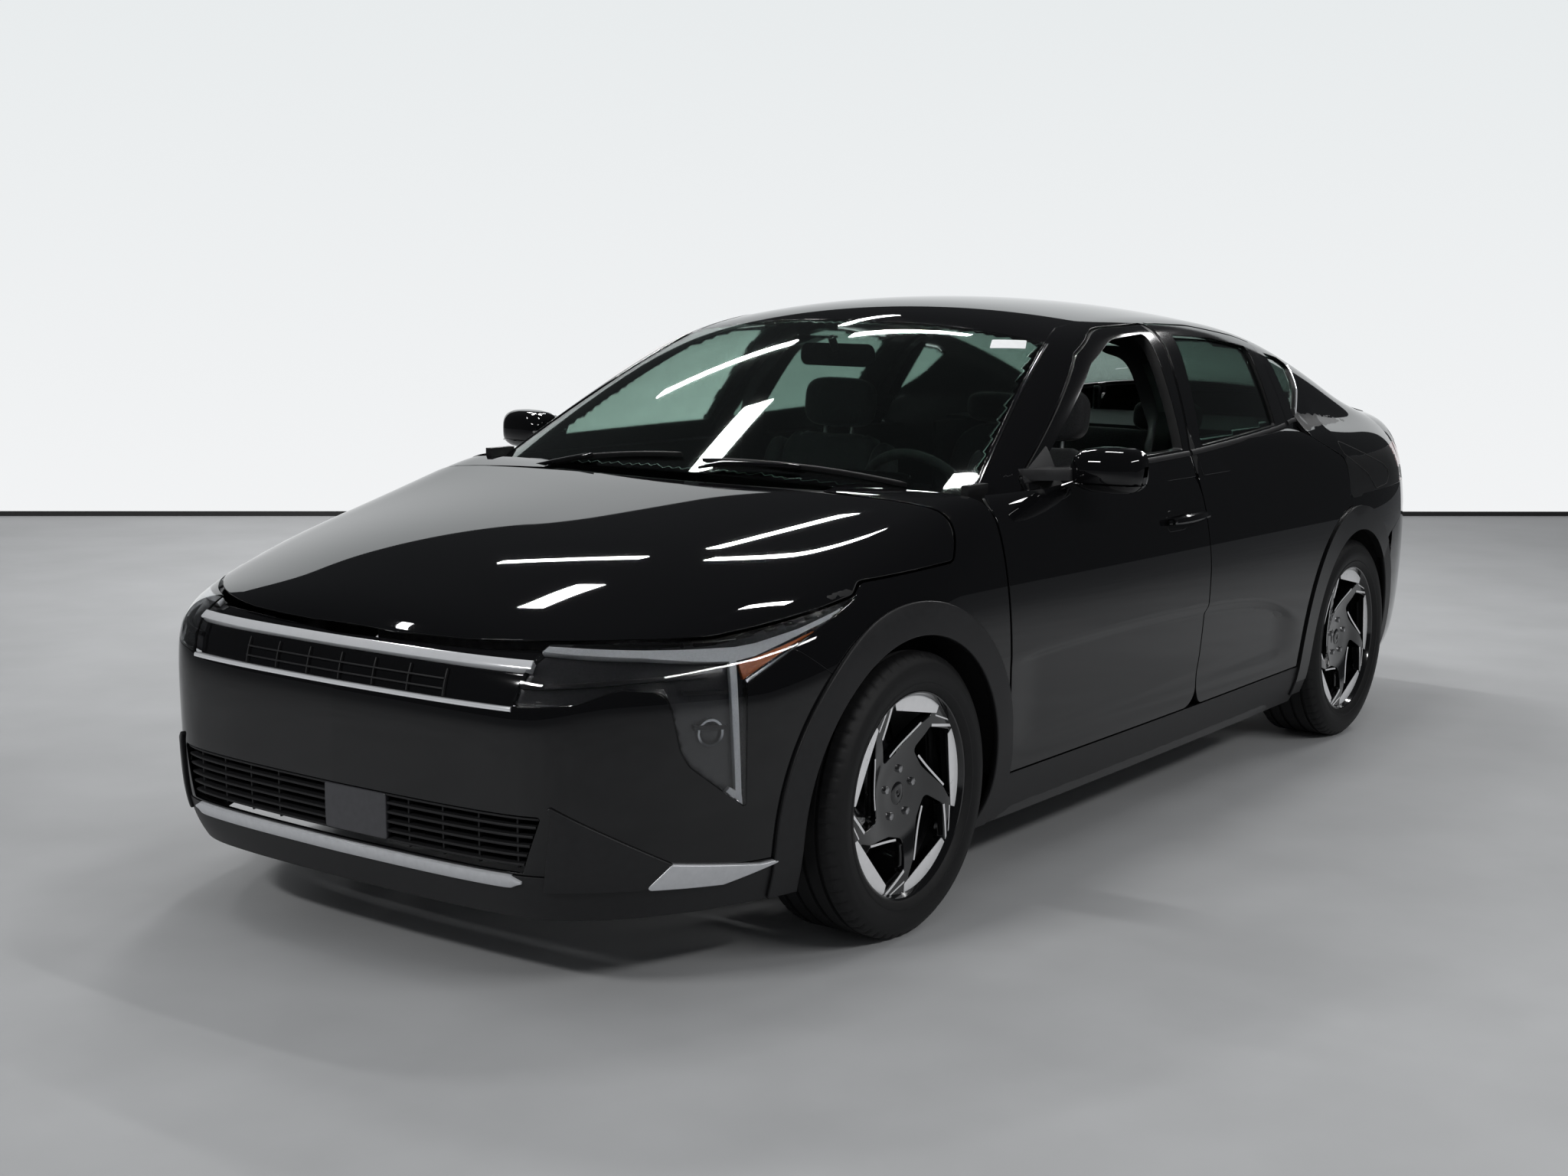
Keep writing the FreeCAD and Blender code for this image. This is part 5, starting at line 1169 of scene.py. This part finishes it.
def turned_on(profile, centre, turn, count=48):
    """Ring turned about a free axis; the profile's points are (radius, outward)."""
    verts = []
    for a in np.linspace(0, 2 * math.pi, count, endpoint=False):
        for r, h in profile:
            verts.append(np.array(centre) + np.array(turn @ Vector((r * math.cos(a), r * math.sin(a), h))))
    return np.array(verts), net(count, len(profile), True, True)


add("headlamp_projector_left", lens_glass,
    turned_on([(0.5, -9), (10, -10), (18, -13), (22, -18), (22, -22), (0.5, -22)], eye_path[0],
    eye_turn), replaces=["headlamps"])
add("headlamp_ring_left", reflector, turned_on([(24, -11), (29, -10), (31, -14), (31, -24), (24, -24)],
    eye_path[0], eye_turn), replaces=["headlamps"])

# Upper grille between its two bright strips
add("upper_grille_back", gloss_trim, skin(tub, "front", (-510, 510, 600, 715),
    [("front", upper_grille_line), ("side", under_hood)], proud=-16, depth=4),
    replaces=["upper_grille"])
mesh_bars = [ribbon(tub, "front", straight([(-300, z), (300, z)], 20), 3.5, -18, -8) for z in (630, 651)]
mesh_bars += [ribbon(tub, "front", straight([(y, 615), (y, 672)], 8), 3.5, -18, -10)
    for y in range(-300, 301, 100)]
add("upper_grille_mesh", black_plastic, joined(*mesh_bars), replaces=["upper_grille"])
for name, z, width, end in (("upper_grille_strip", 693, 22, 499), ("middle_grille_strip", 607, 10, 481)):
    add(name, chrome, ribbon(tub, "front", straight([(-end, z), (end, z)], 12), width, -16, 3, r=3.5),
        replaces=["upper_grille"])

# Lower grille with its blank square, the silver bar and the corner vanes
add("lower_grille_back", black_plastic, skin(tub, "front", (-550, 550, 268, 396),
    [("front", lower_grille_line)], proud=-40, depth=6), replaces=["lower_grille"])
bars = []
for z in (288, 308, 328, 348, 368, 386):
    end = 505 + (z - 272) / 3 - 4
    bars.append(ribbon(tub, "front", straight([(-end, z), (end, z)], 12), 6, -40, -6, r=2))
for y in list(range(-480, -100, 95)) + list(range(205, 500, 95)):
    bars.append(ribbon(tub, "front", straight([(y, 278), (y, 388)], 10), 5, -38, -14, r=1.5))
add("lower_grille_bars", black_plastic, joined(*bars), replaces=["lower_grille"])
add("lower_grille_blank", grey_blank, skin(tub, "front", (-40, 160, 280, 400),
    [("front", arc_corners([(-33, 288, 6), (150, 288, 6), (150, 388, 6), (-33, 388, 6)]))], proud=-3,
    depth=14, spacing=14, roll=2.5), replaces=["lower_grille"])
add("lower_silver_bar", silver, ribbon(tub, "front", straight([(-500, 252), (500, 252)], 12), 30, -10,
    6, r=6, taper=0.03))


def nose_line(points):
    """Outline through places (x, y, z), as seen from the nose."""
    return arc_corners([(math.degrees(math.atan2(y, x - end_middle)) * nose_scale, z, 6)
        for x, y, z in points])


vane_area = around(20, 62, 160, 440)
for name, corners, mat, proud in (
        ("corner_vane_left", [(2303, 551, 421), (2107, 728, 285), (2119, 721, 250), (2151, 684, 234),
                              (2290, 539, 235), (2295, 564, 391)], satin, 7.0),
        ("corner_facet_left", [(2112, 724, 287), (1922, 807, 262), (1850, 838, 266), (1998, 768, 228),
                               (2151, 684, 234)], silver, 9.0)):
    line = nose_line(corners)
    add(name, mat, skin(tub, "nose", vane_area, [("nose", line)], proud=proud, depth=11, spacing=9,
        roll=3.0), slot="dark_satin")

# Mouldings, window trim and door fittings
for name, body, shape, line in (
        ("front_belt_moulding_left", "front_left_door", cabin,
         [(838, 983), (768, 987), (400, 994), (-44, 1003)]),
        ("rear_belt_moulding_left", "rear_left_door", cabin,
         [(-60, 1004), (-400, 1018), (-774, 1034), (-868, 1040)]),
        ("quarter_belt_moulding_left", "car_body", whole, [(-905, 1044), (-960, 1049), (-1004, 1050)])):
    add(name, satin, ribbon(shape, "side", straight(line, 12), 15, -3, 4.5, r=3), body)
add("quarter_bright_trim_left", chrome, ribbon(whole, "side",
    straight([(-1004, 1053), (-1080, 1092), (-1158, 1136), (-1212, 1213)], 8), 5, -3, 3.5, r=1.5),
    slot="dark_satin")
add("pillar_bright_line_left", gloss_trim,
    ribbon(cabin, "top", straight([(1004, 766), (700, 690), (352, 601)], 14), 7, -3, 3.2, r=2.5),
    slot="dark_satin")
fuel_door = arc_corners([(x, z, 22) for x, z in ((-1201, 976), (-1240, 968), (-1600, 880),
    (-1655, 856), (-1650, 835), (-1610, 812), (-1470, 806), (-1440, 830), (-1400, 860), (-1210, 935),
    (-1196, 955))], 8.0)
add("fuel_door_line_left", seal, ribbon(whole, "side", fuel_door, 3, -1, 1.3, closed=True, r=0.4),
    slot="dark_satin")


def handle_section(t):
    """Round-backed grip that swells in the middle and closes at both ends."""
    full = math.sin(math.pi * min(max(t, 0.02), 0.98)) ** 0.35
    low = 22 - 20 * (1 - full)
    return [(-11 * full, low), (-12 * full, low + 8 * full), (-7 * full, low + 15 * full),
        (7 * full, low + 15 * full), (12 * full, low + 8 * full), (11 * full, low)]


grip_path, grip_normal = path_on(tub, "side", straight([(205, 832), (-48, 836)], 8))
feet = [ribbon(tub, "side", straight([(a, 833), (b, 834)], 6), 17, -4, 26, r=5)
    for a, b in ((192, 168), (-12, -36))]
add("door_handle_left", gloss_trim, joined(sweep(grip_path, grip_normal, handle_section), *feet),
    "front_left_door")
cup = arc_corners([(196, 806, 20), (196, 862, 24), (70, 862, 24), (70, 806, 24)], 6)
add("handle_cup_left", gloss_trim, skin(tub, "side", (60, 206, 800, 870), [("side", cup)], proud=2.6,
    depth=2.4, spacing=12, roll=0.8), "front_left_door")

# Door mirrors
mirror_stations = [(876, 0.30), (880, 0.55), (890, 0.76), (908, 0.90), (940, 0.98), (980, 1.0),
    (1015, 0.97), (1036, 0.88), (1048, 0.72), (1053.5, 0.5), (1055, 0.22)]


def mirror_shell(low, high, grow):
    """Part of the mirror's housing between two heights."""
    verts = []
    count = 48
    for y, size in mirror_stations:
        for a in np.linspace(0, 2 * math.pi, count, endpoint=False):
            c, s = math.cos(a), math.sin(a)
            bulge = 1 - 0.16 * ((y - 940) / 116) ** 2 if y > 940 else 1
            half_x = (76 if c > 0 else 62) * size ** 0.7 * bulge
            x = mirror_x + (half_x + grow) * math.copysign(abs(c) ** 0.62, c)
            z = mirror_z + (58 * size + grow) * math.copysign(abs(s) ** 0.72, s)
            verts.append((x - 0.16 * (y - 880) * (c > 0), y, min(max(z, low), high)))
    m = len(mirror_stations)
    ends = [list(range(count))[::-1], [(m - 1) * count + k for k in range(count)]]
    return np.array(verts, float), net(m, count) + ends


add("mirror_housing_left", paint, mirror_shell(978, 1100, 0), "front_left_door", slot="black_plastic",
    replaces=["door_mirror_left"])
add("mirror_base_cap_left", gloss_trim, mirror_shell(900, 976.5, -1), "front_left_door",
    replaces=["door_mirror_left"])
add("mirror_glass_left", chrome, outline_prism(arc_corners([(896, 968, 18), (1036, 970, 26),
    (1032, 1048, 26), (898, 1052, 20)]), 611, 615.5, lambda a, b, h: (h, a, b)), "front_left_door",
    slot="black_plastic", replaces=["door_mirror_left"])
add("mirror_foot_left", satin, outline_prism(arc_corners([(846, 782, 12), (792, 846, 30),
    (742, 892, 20), (690, 896, 10), (690, 868, 10), (716, 800, 30), (720, 776, 8)]), 984, 1012,
    lambda a, b, h: (a, b, h)), "front_left_door", slot="black_plastic", replaces=["door_mirror_left"],
    bevel=6.0)
sail = arc_corners([(842, 992, 4), (690, 1001, 4), (690, 1062, 4)])
add("mirror_sail_left", satin, skin(cabin, "side", (680, 850, 985, 1075), [("side", sail)],
    proud=door_proud, depth=10, spacing=12), "front_left_door", replaces=["door_mirror_left"])

# Wipers
wiper_steel = []
wiper_rubber = []
for arm, blade in (([(1182, -610), (1150, -560), (1118, -330)], [(1142, -655), (1112, -330), (1108, -40)]),
                   ([(1168, 60), (1140, 110), (1104, 330)], [(1126, 40), (1092, 330), (1058, 610)])):
    wiper_rubber.append(ribbon(cabin, "top", straight(blade, 14), 9, 1.5, 13, r=3, taper=0.04))
    wiper_steel.append(ribbon(cabin, "top", straight(arm, 12), 12, 12, 20, r=3, taper=0.1))
add("wiper_blades", rubber, joined(*wiper_rubber), slot="black_plastic")
add("wiper_arms", gloss_trim, joined(*wiper_steel))


# Cabin: cushions, steering wheel, instruments, mirror and windshield sticker
def pillow(centre, half, tilt=0.0, power=0.42, channels=(), count=64, dip=0.0):
    """Crowned closed form; channels are sewn lines across it, as places from -1 to 1 along its width."""
    rows = count // 2
    verts = []
    for i in range(1, rows):
        v = -math.pi / 2 + math.pi * i / rows
        cv, sv = math.cos(v), math.sin(v)
        for k in range(count):
            u = 2 * math.pi * k / count
            cu, su = math.cos(u), math.sin(u)
            ring = math.copysign(abs(cv) ** power, cv)
            x = half[0] * ring * math.copysign(abs(cu) ** power, cu)
            z = half[2] * ring * math.copysign(abs(su) ** power, su)
            y = half[1] * math.copysign(abs(sv) ** power, sv)
            w = y / half[1]
            sewn = min([1.0] + [abs(w - c) / 0.05 for c in channels])
            pinch = 1 - 0.06 * (1 - sewn ** 0.5)
            crown = 1 + 0.10 * (1 - w * w) - dip * (1 - min(1.0, abs(w) / 0.75) ** 2)
            verts.append((x * pinch * (1 + 0.03 * (1 - w * w)), y, z * pinch * crown))
    n = len(verts)
    verts += [(0, -half[1], 0), (0, half[1], 0)]
    faces = net(rows - 1, count, back=True)
    for k in range(count):
        q = (k + 1) % count
        faces.append([n, q, k])
        faces.append([n + 1, (rows - 2) * count + k, (rows - 2) * count + q])
    c, s = math.cos(tilt), math.sin(tilt)
    out = [(centre[0] + c * x + s * z, centre[1] + y, centre[2] - s * x + c * z) for x, y, z in verts]
    return np.array(out, float), faces


def cushion(name, shape, node):
    obj = piece(name, seat_cloth, *shape, replaces=[node])
    tidy(obj)


def round_section(radius, count):
    return [(radius * math.cos(a), radius * math.sin(a))
        for a in np.linspace(0, 2 * math.pi, count, endpoint=False)]


def rod_between(p, q, radius, count=14):
    p, q = np.array(p, float), np.array(q, float)
    path = np.array([p + (q - p) * k / 4 for k in range(5)])
    lengthwise = abs(q[1] - p[1]) < 0.9 * np.linalg.norm(q - p)
    level = np.tile([0.0, 1.0, 0.02] if lengthwise else [1.0, 0.0, 0.0], (5, 1))
    return sweep(path, level, round_section(radius, count))


for name, y in (("driver", 370), ("passenger", -370)):
    cushion(name + "_seat_cushion", pillow((300, y, 372), (255, 196, 66), 0.06, 0.42, (-0.62, 0.62),
        dip=0.12), "front_seats")
    for k, way in enumerate((-1, 1)):
        cushion("%s_seat_bolster_%d" % (name, k),
            pillow((300, y + way * 208, 384), (250, 40, 70), 0.06, 0.5), "front_seats")
        cushion("%s_back_bolster_%d" % (name, k),
            pillow((-6, y + way * 196, 690), (52, 42, 262), -0.26, 0.5), "front_seats")
    cushion(name + "_seat_back", pillow((-22, y, 706), (54, 190, 288), -0.26, 0.4, (-0.62, 0.62), dip=0.10),
            "front_seats")
    cushion(name + "_headrest", pillow((-114, y, 1086), (40, 124, 74), -0.1, 0.55, dip=0.05), "front_seats")
    posts = [rod_between((-98, y + d, 960), (-112, y + d, 1040), 6) for d in (-50, 50)]
    add(name + "_headrest_posts", steel, joined(*posts), replaces=["front_seats"])
    frame_shape = joined(block(70, 470, y - 190, y + 190, 196.5, 222),
        block(90, 450, y - 175, y + 175, 222, 318), block(20, 120, y - 215, y - 196, 300, 470),
        block(20, 120, y + 196, y + 215, 300, 470))
    add(name + "_seat_frame", cabin_plastic, frame_shape, slot="seat_fabric", replaces=["front_seats"],
        bevel=6)
cushion("rear_seat_cushion", pillow((-632, 0, 376), (232, 636, 72), 0.06, 0.3, (-0.34, 0.34), 96, dip=0.04),
        "rear_seat")
cushion("rear_seat_back", pillow((-938, 0, 690), (54, 466, 292), -0.32, 0.3, (-0.34, 0.34), 96,
    dip=0.04), "rear_seat")
for k, y in enumerate((-320, 320)):
    cushion("rear_headrest_%d" % k, pillow((-1032, y, 1036), (38, 116, 48), -0.1, 0.5), "rear_seat")

wheel_tilt = math.radians(24)
wheel_centre = np.array([600.0, 370.0, 850.0])
wheel_way = np.array([-math.cos(wheel_tilt), 0, math.sin(wheel_tilt)])
wheel_up = np.array([math.sin(wheel_tilt), 0, math.cos(wheel_tilt)])
wheel_side = np.array([0.0, 1.0, 0.0])
rim_angles = np.linspace(0, 2 * math.pi, 96, endpoint=False)
rim_path = np.array([wheel_centre + 178 * (wheel_up * math.cos(a) + wheel_side * math.sin(a))
                     for a in rim_angles])
add("steering_rim", soft_black, sweep(rim_path, np.tile(wheel_way, (96, 1)), round_section(14, 18),
    True), replaces=["steering_wheel"])


def wheel_place(a, b, h):
    return wheel_centre + wheel_side * a + wheel_up * b + wheel_way * h


hub_line = arc_corners([(-72, 40, 30), (72, 40, 30), (48, -62, 34), (-48, -62, 34)], 6)
spokes = [outline_prism(arc_corners(line, 8), -24, -12, wheel_place) for line in (
    [(60, 24, 4), (168, 12, 4), (168, -22, 4), (60, -26, 4)],
    [(-60, 24, 4), (-168, 12, 4), (-168, -22, 4), (-60, -26, 4)],
    [(-24, -50, 4), (24, -50, 4), (18, -170, 4), (-18, -170, 4)])]
add("steering_spokes", soft_black, joined(outline_prism(hub_line, -40, 2, wheel_place), *spokes),
    replaces=["steering_wheel"], bevel=4)
add("steering_column", cabin_plastic, rod_between(wheel_centre - wheel_way * 40,
    wheel_centre - wheel_way * 200, 40, 24), replaces=["steering_wheel"])
add("instrument_screen", gloss_trim, outline_prism(arc_corners([(520, 880, 14), (520, 985, 14),
    (-160, 985, 14), (-160, 880, 14)]), 870, 890, lambda a, b, h: (h + 0.25 * (b - 900), a, b)),
    slot="cabin_plastic", bevel=3)
vents = [block(802, 812, y - 70, y + 70, 800 + 14 * k, 806 + 14 * k) for y in (-560, -90, 560)
    for k in range(3)]
add("dashboard_vents", satin, joined(*vents), slot="cabin_plastic", bevel=1.5)
add("dashboard_band", silver, block(800, 815, -640, 640, 770, 782), slot="cabin_plastic", bevel=3)
mirror_line = arc_corners([(-118, 1225, 22), (118, 1225, 22), (118, 1288, 26), (-118, 1288, 26)])
add("inner_mirror", gloss_trim, outline_prism(mirror_line, 448, 470, lambda a, b, h: (h, a, b)),
    slot="cabin_plastic", bevel=6)
add("inner_mirror_arm", cabin_plastic, rod_between((468, 0, 1270), (492, 0, 1306), 11))
sticker_line = arc_corners([(400, 461, 4), (360, 545, 4), (405, 566, 4), (446, 480, 4)])
add("windshield_sticker", sticker_white, skin(cabin, "top", (340, 470, 440, 600),
    [("top", sticker_line)], proud=0.6, depth=0.5, spacing=14, roll=0.1))

# Tail: lamps, strip, plate recess, lower panel and reflectors
tail_lamp_area = around(12, 56, 778, 962)
for name, mat, proud, depth, inset in (("tail_lamp_lens_left", red_lens, 0.0, 3.0, -0.4),
                                       ("tail_lamp_housing_left", dark_bezel, -10.0, 12.0, -0.6)):
    add(name, mat, skin(whole, "tail", tail_lamp_area, [("rear", offset_line(tail_lamp_line, inset))],
        rule=lambda p: np.abs(p[:, 1]) > lid_gap_y + 0.5, proud=proud, depth=depth, spacing=fine,
        roll=0.8), slot="tail_lens", replaces=["tail_lamps"])
tail_bar_line = arc_corners([(600, 893, 8), (640, 886, 8), (745, 900, 8), (806, 862, 8), (806, 842, 8),
    (736, 884, 8), (640, 872, 8), (600, 878, 8)])
add("tail_lamp_bar_left", light_pipe, skin(whole, "tail", tail_lamp_area, [("rear", tail_bar_line)],
    rule=lambda p: np.abs(p[:, 1]) > lid_gap_y + 1, proud=-4.0, depth=5, spacing=9.0, roll=0.8),
    slot="tail_lens", replaces=["tail_lamps"])
for name, z, width, mat in (("lid_lamp_strip", 888, 22, red_lens), ("lid_strip_edge", 903, 4, chrome)):
    add(name, mat, ribbon(whole, "rear", straight([(-588, z), (588, z)], 14), width, -3, 3.5, r=1.5),
        "trunk_lid", slot="tail_lens")
plate_line = arc_corners([(-262, 560, 14), (262, 560, 14), (280, 700, 14), (-280, 700, 14)])
add("plate_recess", black_plastic, skin(whole, "tail", around(-17, 17, 550, 710),
    [("rear", plate_line)], proud=1.2, depth=3, roll=0.6))
add("plate_blank", silver, skin(whole, "tail", around(-11, 11, 565, 695),
    [("rear", arc_corners([(-160, 590, 8), (160, 590, 8), (160, 668, 8), (-160, 668, 8)]))], proud=3.4,
    depth=3, roll=0.8))
diffuser_line = arc_corners([(-640, 168, 8), (640, 168, 8), (700, 330, 30), (480, 372, 60),
    (-480, 372, 60), (-700, 330, 30)])
add("rear_diffuser", satin, skin(whole, "tail", around(-46, 46, 160, 380), [("rear", diffuser_line)],
    proud=2.0, depth=5, roll=1.5))
fins = [ribbon(whole, "rear", straight([(y, 176), (y, 262)], 10), 7, -2, 16, r=3, taper=0.2) for y in
        (-300, -150, 0, 150, 300)]
add("diffuser_fins", satin, joined(*fins))
add("rear_reflector_left", red_lens, ribbon(whole, "rear", straight([(560, 396), (700, 402)], 8), 16,
    -2, 3.5, r=2))

# Materials of the solid model's own pieces
by_slot = {"body_paint": jamb_paint, "window_glass": belt_glass, "black_plastic": black_plastic,
    "dark_satin": satin, "lamp_lens": lens_glass, "tail_lens": red_lens, "chassis_steel": chassis,
    "cast_metal": cast, "exhaust_steel": exhaust_steel, "cabin_plastic": cabin_plastic,
    "seat_fabric": seat_cloth, "tyre_rubber": rubber, "wheel_alloy": wheel_black}
for part in frame["record"]["subparts"]:
    holder = frame["nodes"][part["node"]]
    for place in holder.material_slots:
        place.link = "OBJECT"
        place.material = by_slot[part["material_slot"]]


# Floor, light and background
def flat_sheet(name, corners, mat):
    mesh = bpy.data.meshes.new(name)
    mesh.from_pydata(corners, [], [[0, 1, 2, 3]])
    obj = bpy.data.objects.new(name, mesh)
    bpy.context.scene.collection.objects.link(obj)
    mesh.materials.append(mat)
    return obj


floor_mat = material("pale studio floor", (0.40, 0.405, 0.41), 0.62, vary=0.06, grain=2.2, bump=0.12,
    bump_scale=60.0)
floor = flat_sheet("studio_floor", [(-16, -16, 0), (16, -16, 0), (16, 16, 0), (-16, 16, 0)], floor_mat)


def seen_by_eye(tree):
    """1 for rays from the eye, from shiny surfaces and through glass; 0 for light on the car."""
    path = new_node(tree, "LightPath")
    last = (path, "Is Camera Ray")
    for name in ("Is Glossy Ray", "Is Transmission Ray"):
        either = new_node(tree, "Math")
        either.operation = "MAXIMUM"
        link(tree, *last, either, 0)
        link(tree, path, name, either, 1)
        last = (either, "Value")
    return last


def wall_material(name, low, high):
    """Pale wall, with painted shade that makes it a little darker towards its top; it sheds no light of its
    own on the car.
    """
    mat = bpy.data.materials.new(name)
    mat.use_nodes = True
    tree = mat.node_tree
    place = new_node(tree, "TexCoord")
    parts = new_node(tree, "SeparateXYZ")
    # Painted shade: the colour ramp over the wall's height darkens it towards its top.
    spread = new_node(tree, "MapRange", From_Max=3.5)
    ramp = new_node(tree, "ValToRGB")
    ramp.color_ramp.elements[0].color = low
    ramp.color_ramp.elements[1].color = high
    glow = new_node(tree, "Emission")
    mix = new_node(tree, "MixShader")
    link(tree, place, "Object", parts, "Vector")
    link(tree, parts, "Z", spread, "Value")
    link(tree, spread, "Result", ramp, "Fac")
    link(tree, ramp, "Color", glow, "Color")
    link(tree, *seen_by_eye(tree), mix, "Fac")
    link(tree, tree.nodes["Principled BSDF"], "BSDF", mix, 1)
    link(tree, glow, "Emission", mix, 2)
    link(tree, mix, "Shader", tree.nodes["Material Output"], "Surface")
    mat.cycles.emission_sampling = "NONE"
    return mat


wall_foot = [Vector((-2.026, -7.678, 0)), Vector((-8.860, -0.387, 0))]
wall_way = wall_foot[1] - wall_foot[0]
wall_ends = [wall_foot[0] - wall_way * 0.05, wall_foot[1] + wall_way * 0.05]
for name, low, high, mat in (
        # The second colour, at the wall's top, is darker as painted shade.
        ("studio_wall", 0.03, 3.9, wall_material("pale wall with painted top shade", (0.89, 0.90, 0.91, 1), (0.80, 0.83, 0.84, 1))),
        ("studio_wall_foot", 0.0, 0.03, material("dark wall foot", (0.02, 0.02, 0.02), 0.7))):
    rise = [Vector((0, 0, z)) for z in (low, high)]
    flat_sheet(name, [wall_ends[0] + rise[0], wall_ends[1] + rise[0], wall_ends[1] + rise[1],
                               wall_ends[0] + rise[1]], mat)
world = bpy.data.worlds.new("studio")
bpy.context.scene.world = world
world.use_nodes = True
tree = world.node_tree
soft = tree.nodes["Background"]
set_inputs(soft, Color=(0.9, 0.93, 0.97, 1), Strength=0.30)
room = new_node(tree, "Background", Color=(0.9, 0.95, 1, 1), Strength=0.035)
choose = new_node(tree, "MixShader")
link(tree, *seen_by_eye(tree), choose, "Fac")
link(tree, soft, "Background", choose, 1)
link(tree, room, "Background", choose, 2)
link(tree, choose, "Shader", tree.nodes["World Output"], "Surface")


def strip_lamp(name, place, size, power, aim=None):
    """Flat lamp that shines straight down, or towards a place."""
    lamp = bpy.data.lights.new(name, "AREA")
    lamp.shape = "RECTANGLE"
    lamp.size, lamp.size_y = size
    lamp.energy = power
    obj = bpy.data.objects.new(name, lamp)
    bpy.context.scene.collection.objects.link(obj)
    obj.location = place
    if aim:
        obj.rotation_euler = (Vector(aim) - Vector(place)).to_track_quat("-Z", "Y").to_euler()


for number, (x, y, length, width, power) in enumerate((
        (-2.48, -4.2, 0.12, 1.6, 60), (-3.4, -3.1, 1.1, 0.12, 40), (-0.95, -2.9, 0.7, 0.3, 45),
        (2.2, -3.4, 0.9, 0.15, 25), (-0.35, 0.1, 0.12, 0.9, 35), (-2.35, -2.1, 0.12, 1.2, 45))):
    strip_lamp("lamp_over_%d" % number, (x, y, 4.6), (length, width), power)
strip_lamp("lamp_front", (6.2, -0.6, 3.6), (1.6, 0.30), 100, (1.6, 0, 0.5))
strip_lamp("lamp_side", (1.2, 5.2, 3.6), (4.5, 0.25), 110, (0.4, 0.6, 0.5))
strip_lamp("lamp_back", (-5.0, 1.5, 4.0), (3.0, 0.4), 70, (-1.0, 0, 0.8))

bpy.context.scene.view_settings.view_transform = "Standard"
